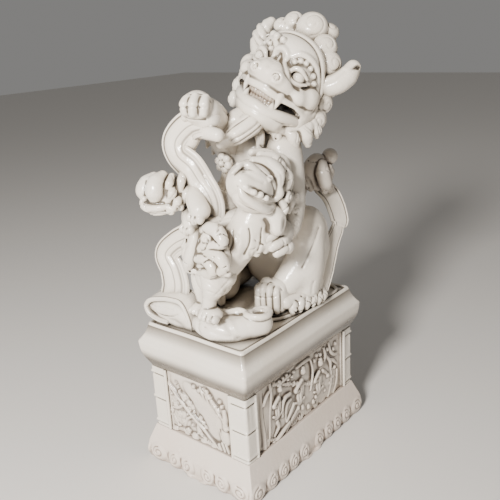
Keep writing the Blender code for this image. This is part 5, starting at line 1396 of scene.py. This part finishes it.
def build_ornaments():
    bell = Clay((-36, -12, 254), (-8, 20, 280), step=FINE * 0.8)
    for k in range(6):
        a = math.tau * k / 6 + 0.3
        y, z = 3 + 5.2 * math.cos(a), 267 + 5.2 * math.sin(a)
        bell.ball((-24, y, z), (3.0, 3.3, 3.3), soft=0.5)
        bell.groove([(-28, 3 + 3 * math.cos(a), 267 + 3 * math.sin(a)),
                     (-28, 3 + 7 * math.cos(a), 267 + 7 * math.sin(a))], 0.5, 0.4, 0.3, 2)
    bell.ball((-26, 3, 267), (3.0, 2.7, 2.7), soft=0.5)
    bell.ball((-21, 3, 267), (4, 7, 7), soft=1)
    piece(bell.skin("rosette"), "bell_rosette")
    tassel = Clay((-36, -8, 226), (-6, 22, 266), step=FINE * 0.8)
    tassel.rope([(-22, 4, 258), (-23, 6, 251)], (2.6, 2.6), 1)
    tassel.ball((-23, 6.5, 248), (4.4, 4.8, 4.4), soft=0.8)
    tassel.ball((-22.5, 5, 239), (5.6, 4.6, 6.0), soft=1)
    tassel.ball((-22.5, 11, 238), (5.2, 4.4, 5.4), soft=0.6)
    tassel.groove([(-28, 7, 254), (-28, 8, 246), (-28, 8, 236)], 0.8, 0.7, 0.4)
    piece(tassel.skin("tassel"), "bell_tassel")

    tail = Clay((44, -50, 196), (94, 4, 270))
    tail.rope([(58, -6, 206), (56, -10, 222), (60, -18, 240)], (11, 9.5, 7.5), 3)
    tail.ball((80, -33, 256.5), (7.2, 7.2, 7.4), soft=1)
    for points, radii in (
            ([(80, -31, 250), (75, -29, 252), (68, -26, 254.5), (61, -24, 248), (61, -25, 236),
              (66, -28, 230)], (4.0, 5.4, 6.4, 6.8, 6.2, 3.4)),
            ([(66, -34, 252), (62, -37, 245), (63, -39, 236), (67, -39, 231)], (4.4, 6.4, 6.2, 3.6)),
            ([(72, -28, 228), (76, -31, 234), (77, -34, 243), (74, -36, 248)], (4.4, 5.2, 5.0, 3.0)),
            ([(58, -20, 244), (54, -24, 238), (56, -28, 231)], (3.6, 4.6, 2.6))):
        hair_lock(tail, points, radii, 1, 0.8)
    for at in ((69, -40, 231), (73, -38, 228), (64, -38, 229)):
        tail.curl(at, (-0.4, -1, -0.2), 3.8, 1.1, 0, 1, 0.9, 0.7, 0.8, 0.8)
    # The tail takes the darker glaze: painted shade.
    piece(tail.skin("lion_tail"), "tail", material=SHADED_BROWN, slot="pooled_glaze")

    face_out = (-0.45, -0.85, 0.25)
    banner("sash_top", [(66, -24, 236), (71, -29, 231), (76, -36, 222), (78, -41, 210), (77, -45, 199),
                        (74, -47, 194)], [face_out] * 6, (12, 17, 19, 19, 18, 12), PLAIN, 3.0, ("sash_band",))
    banner("sash_fall", [(76, -44, 198), (70, -46, 192), (60, -47, 183), (53, -48, 172), (47, -49, 160),
                         (43, -49, 150), (41, -49, 142)], [face_out] * 7, (9, 13, 15, 15, 14, 12, 8),
           PLAIN, 3.0, ("sash_drape",))


build_ribbon()
build_front_cub()
build_left_cub()
build_paws()
build_legs()
build_body()
build_ornaments()


# ---------------------------------------------------------------- stage

def area_light(name, at, toward, size, power, colour=(1.0, 1.0, 1.0)):
    """Round soft light aimed at a place."""
    lamp = bpy.data.lights.new(name, "AREA")
    lamp.shape = "DISK"
    lamp.size = size
    lamp.energy = power
    lamp.color = colour
    thing = bpy.data.objects.new(name, lamp)
    bpy.context.scene.collection.objects.link(thing)
    thing.location = at
    thing.rotation_euler = (Vector(toward) - Vector(at)).to_track_quat("-Z", "Y").to_euler()


def make_stage():
    """Plain pale floor, dim even sky, a key light at the left and a low fill."""
    bpy.ops.mesh.primitive_plane_add(size=8.0, location=(0.0, 0.0, 0.0))
    floor = bpy.context.active_object
    floor.name = "floor"
    paint = bpy.data.materials.new("floor_paint")
    paint.use_nodes = True
    shader = paint.node_tree.nodes["Principled BSDF"]
    shader.inputs["Base Color"].default_value = (0.72, 0.69, 0.65, 1.0)
    shader.inputs["Roughness"].default_value = 0.7
    floor.data.materials.append(paint)
    world = bpy.data.worlds.new("studio")
    bpy.context.scene.world = world
    world.use_nodes = True
    sky = world.node_tree.nodes["Background"]
    sky.inputs["Color"].default_value = (1.0, 0.985, 0.96, 1.0)
    sky.inputs["Strength"].default_value = 0.22
    area_light("key", (-0.92, -0.24, 0.72), (0.0, 0.0, 0.2), 0.22, 28.0, (1.0, 0.97, 0.93))
    area_light("fill", (-1.25, 0.0, 0.2), (0.0, 0.0, 0.22), 0.6, 5.0)


def make_camera():
    """The photograph's point of view, solved from the edges of the plinth."""
    camera = bpy.data.objects.new("camera", bpy.data.cameras.new("camera"))
    bpy.context.scene.collection.objects.link(camera)
    forward = Vector((0.7258, 0.60602, -0.32551)).normalized()
    right = forward.cross(Vector((0.28522, 0.1655, 0.94407))).normalized()
    up = right.cross(forward)
    turn = Matrix((right, up, -forward)).transposed().to_4x4()
    at = Vector((-0.41447, -0.34619, 0.37125)) + Vector(SHIFT * MM)
    camera.matrix_world = Matrix.Translation(at) @ turn
    camera.data.lens = 46.797
    camera.data.sensor_width = 36.0
    camera.data.clip_start = 0.01
    bpy.context.scene.camera = camera


make_stage()
make_camera()
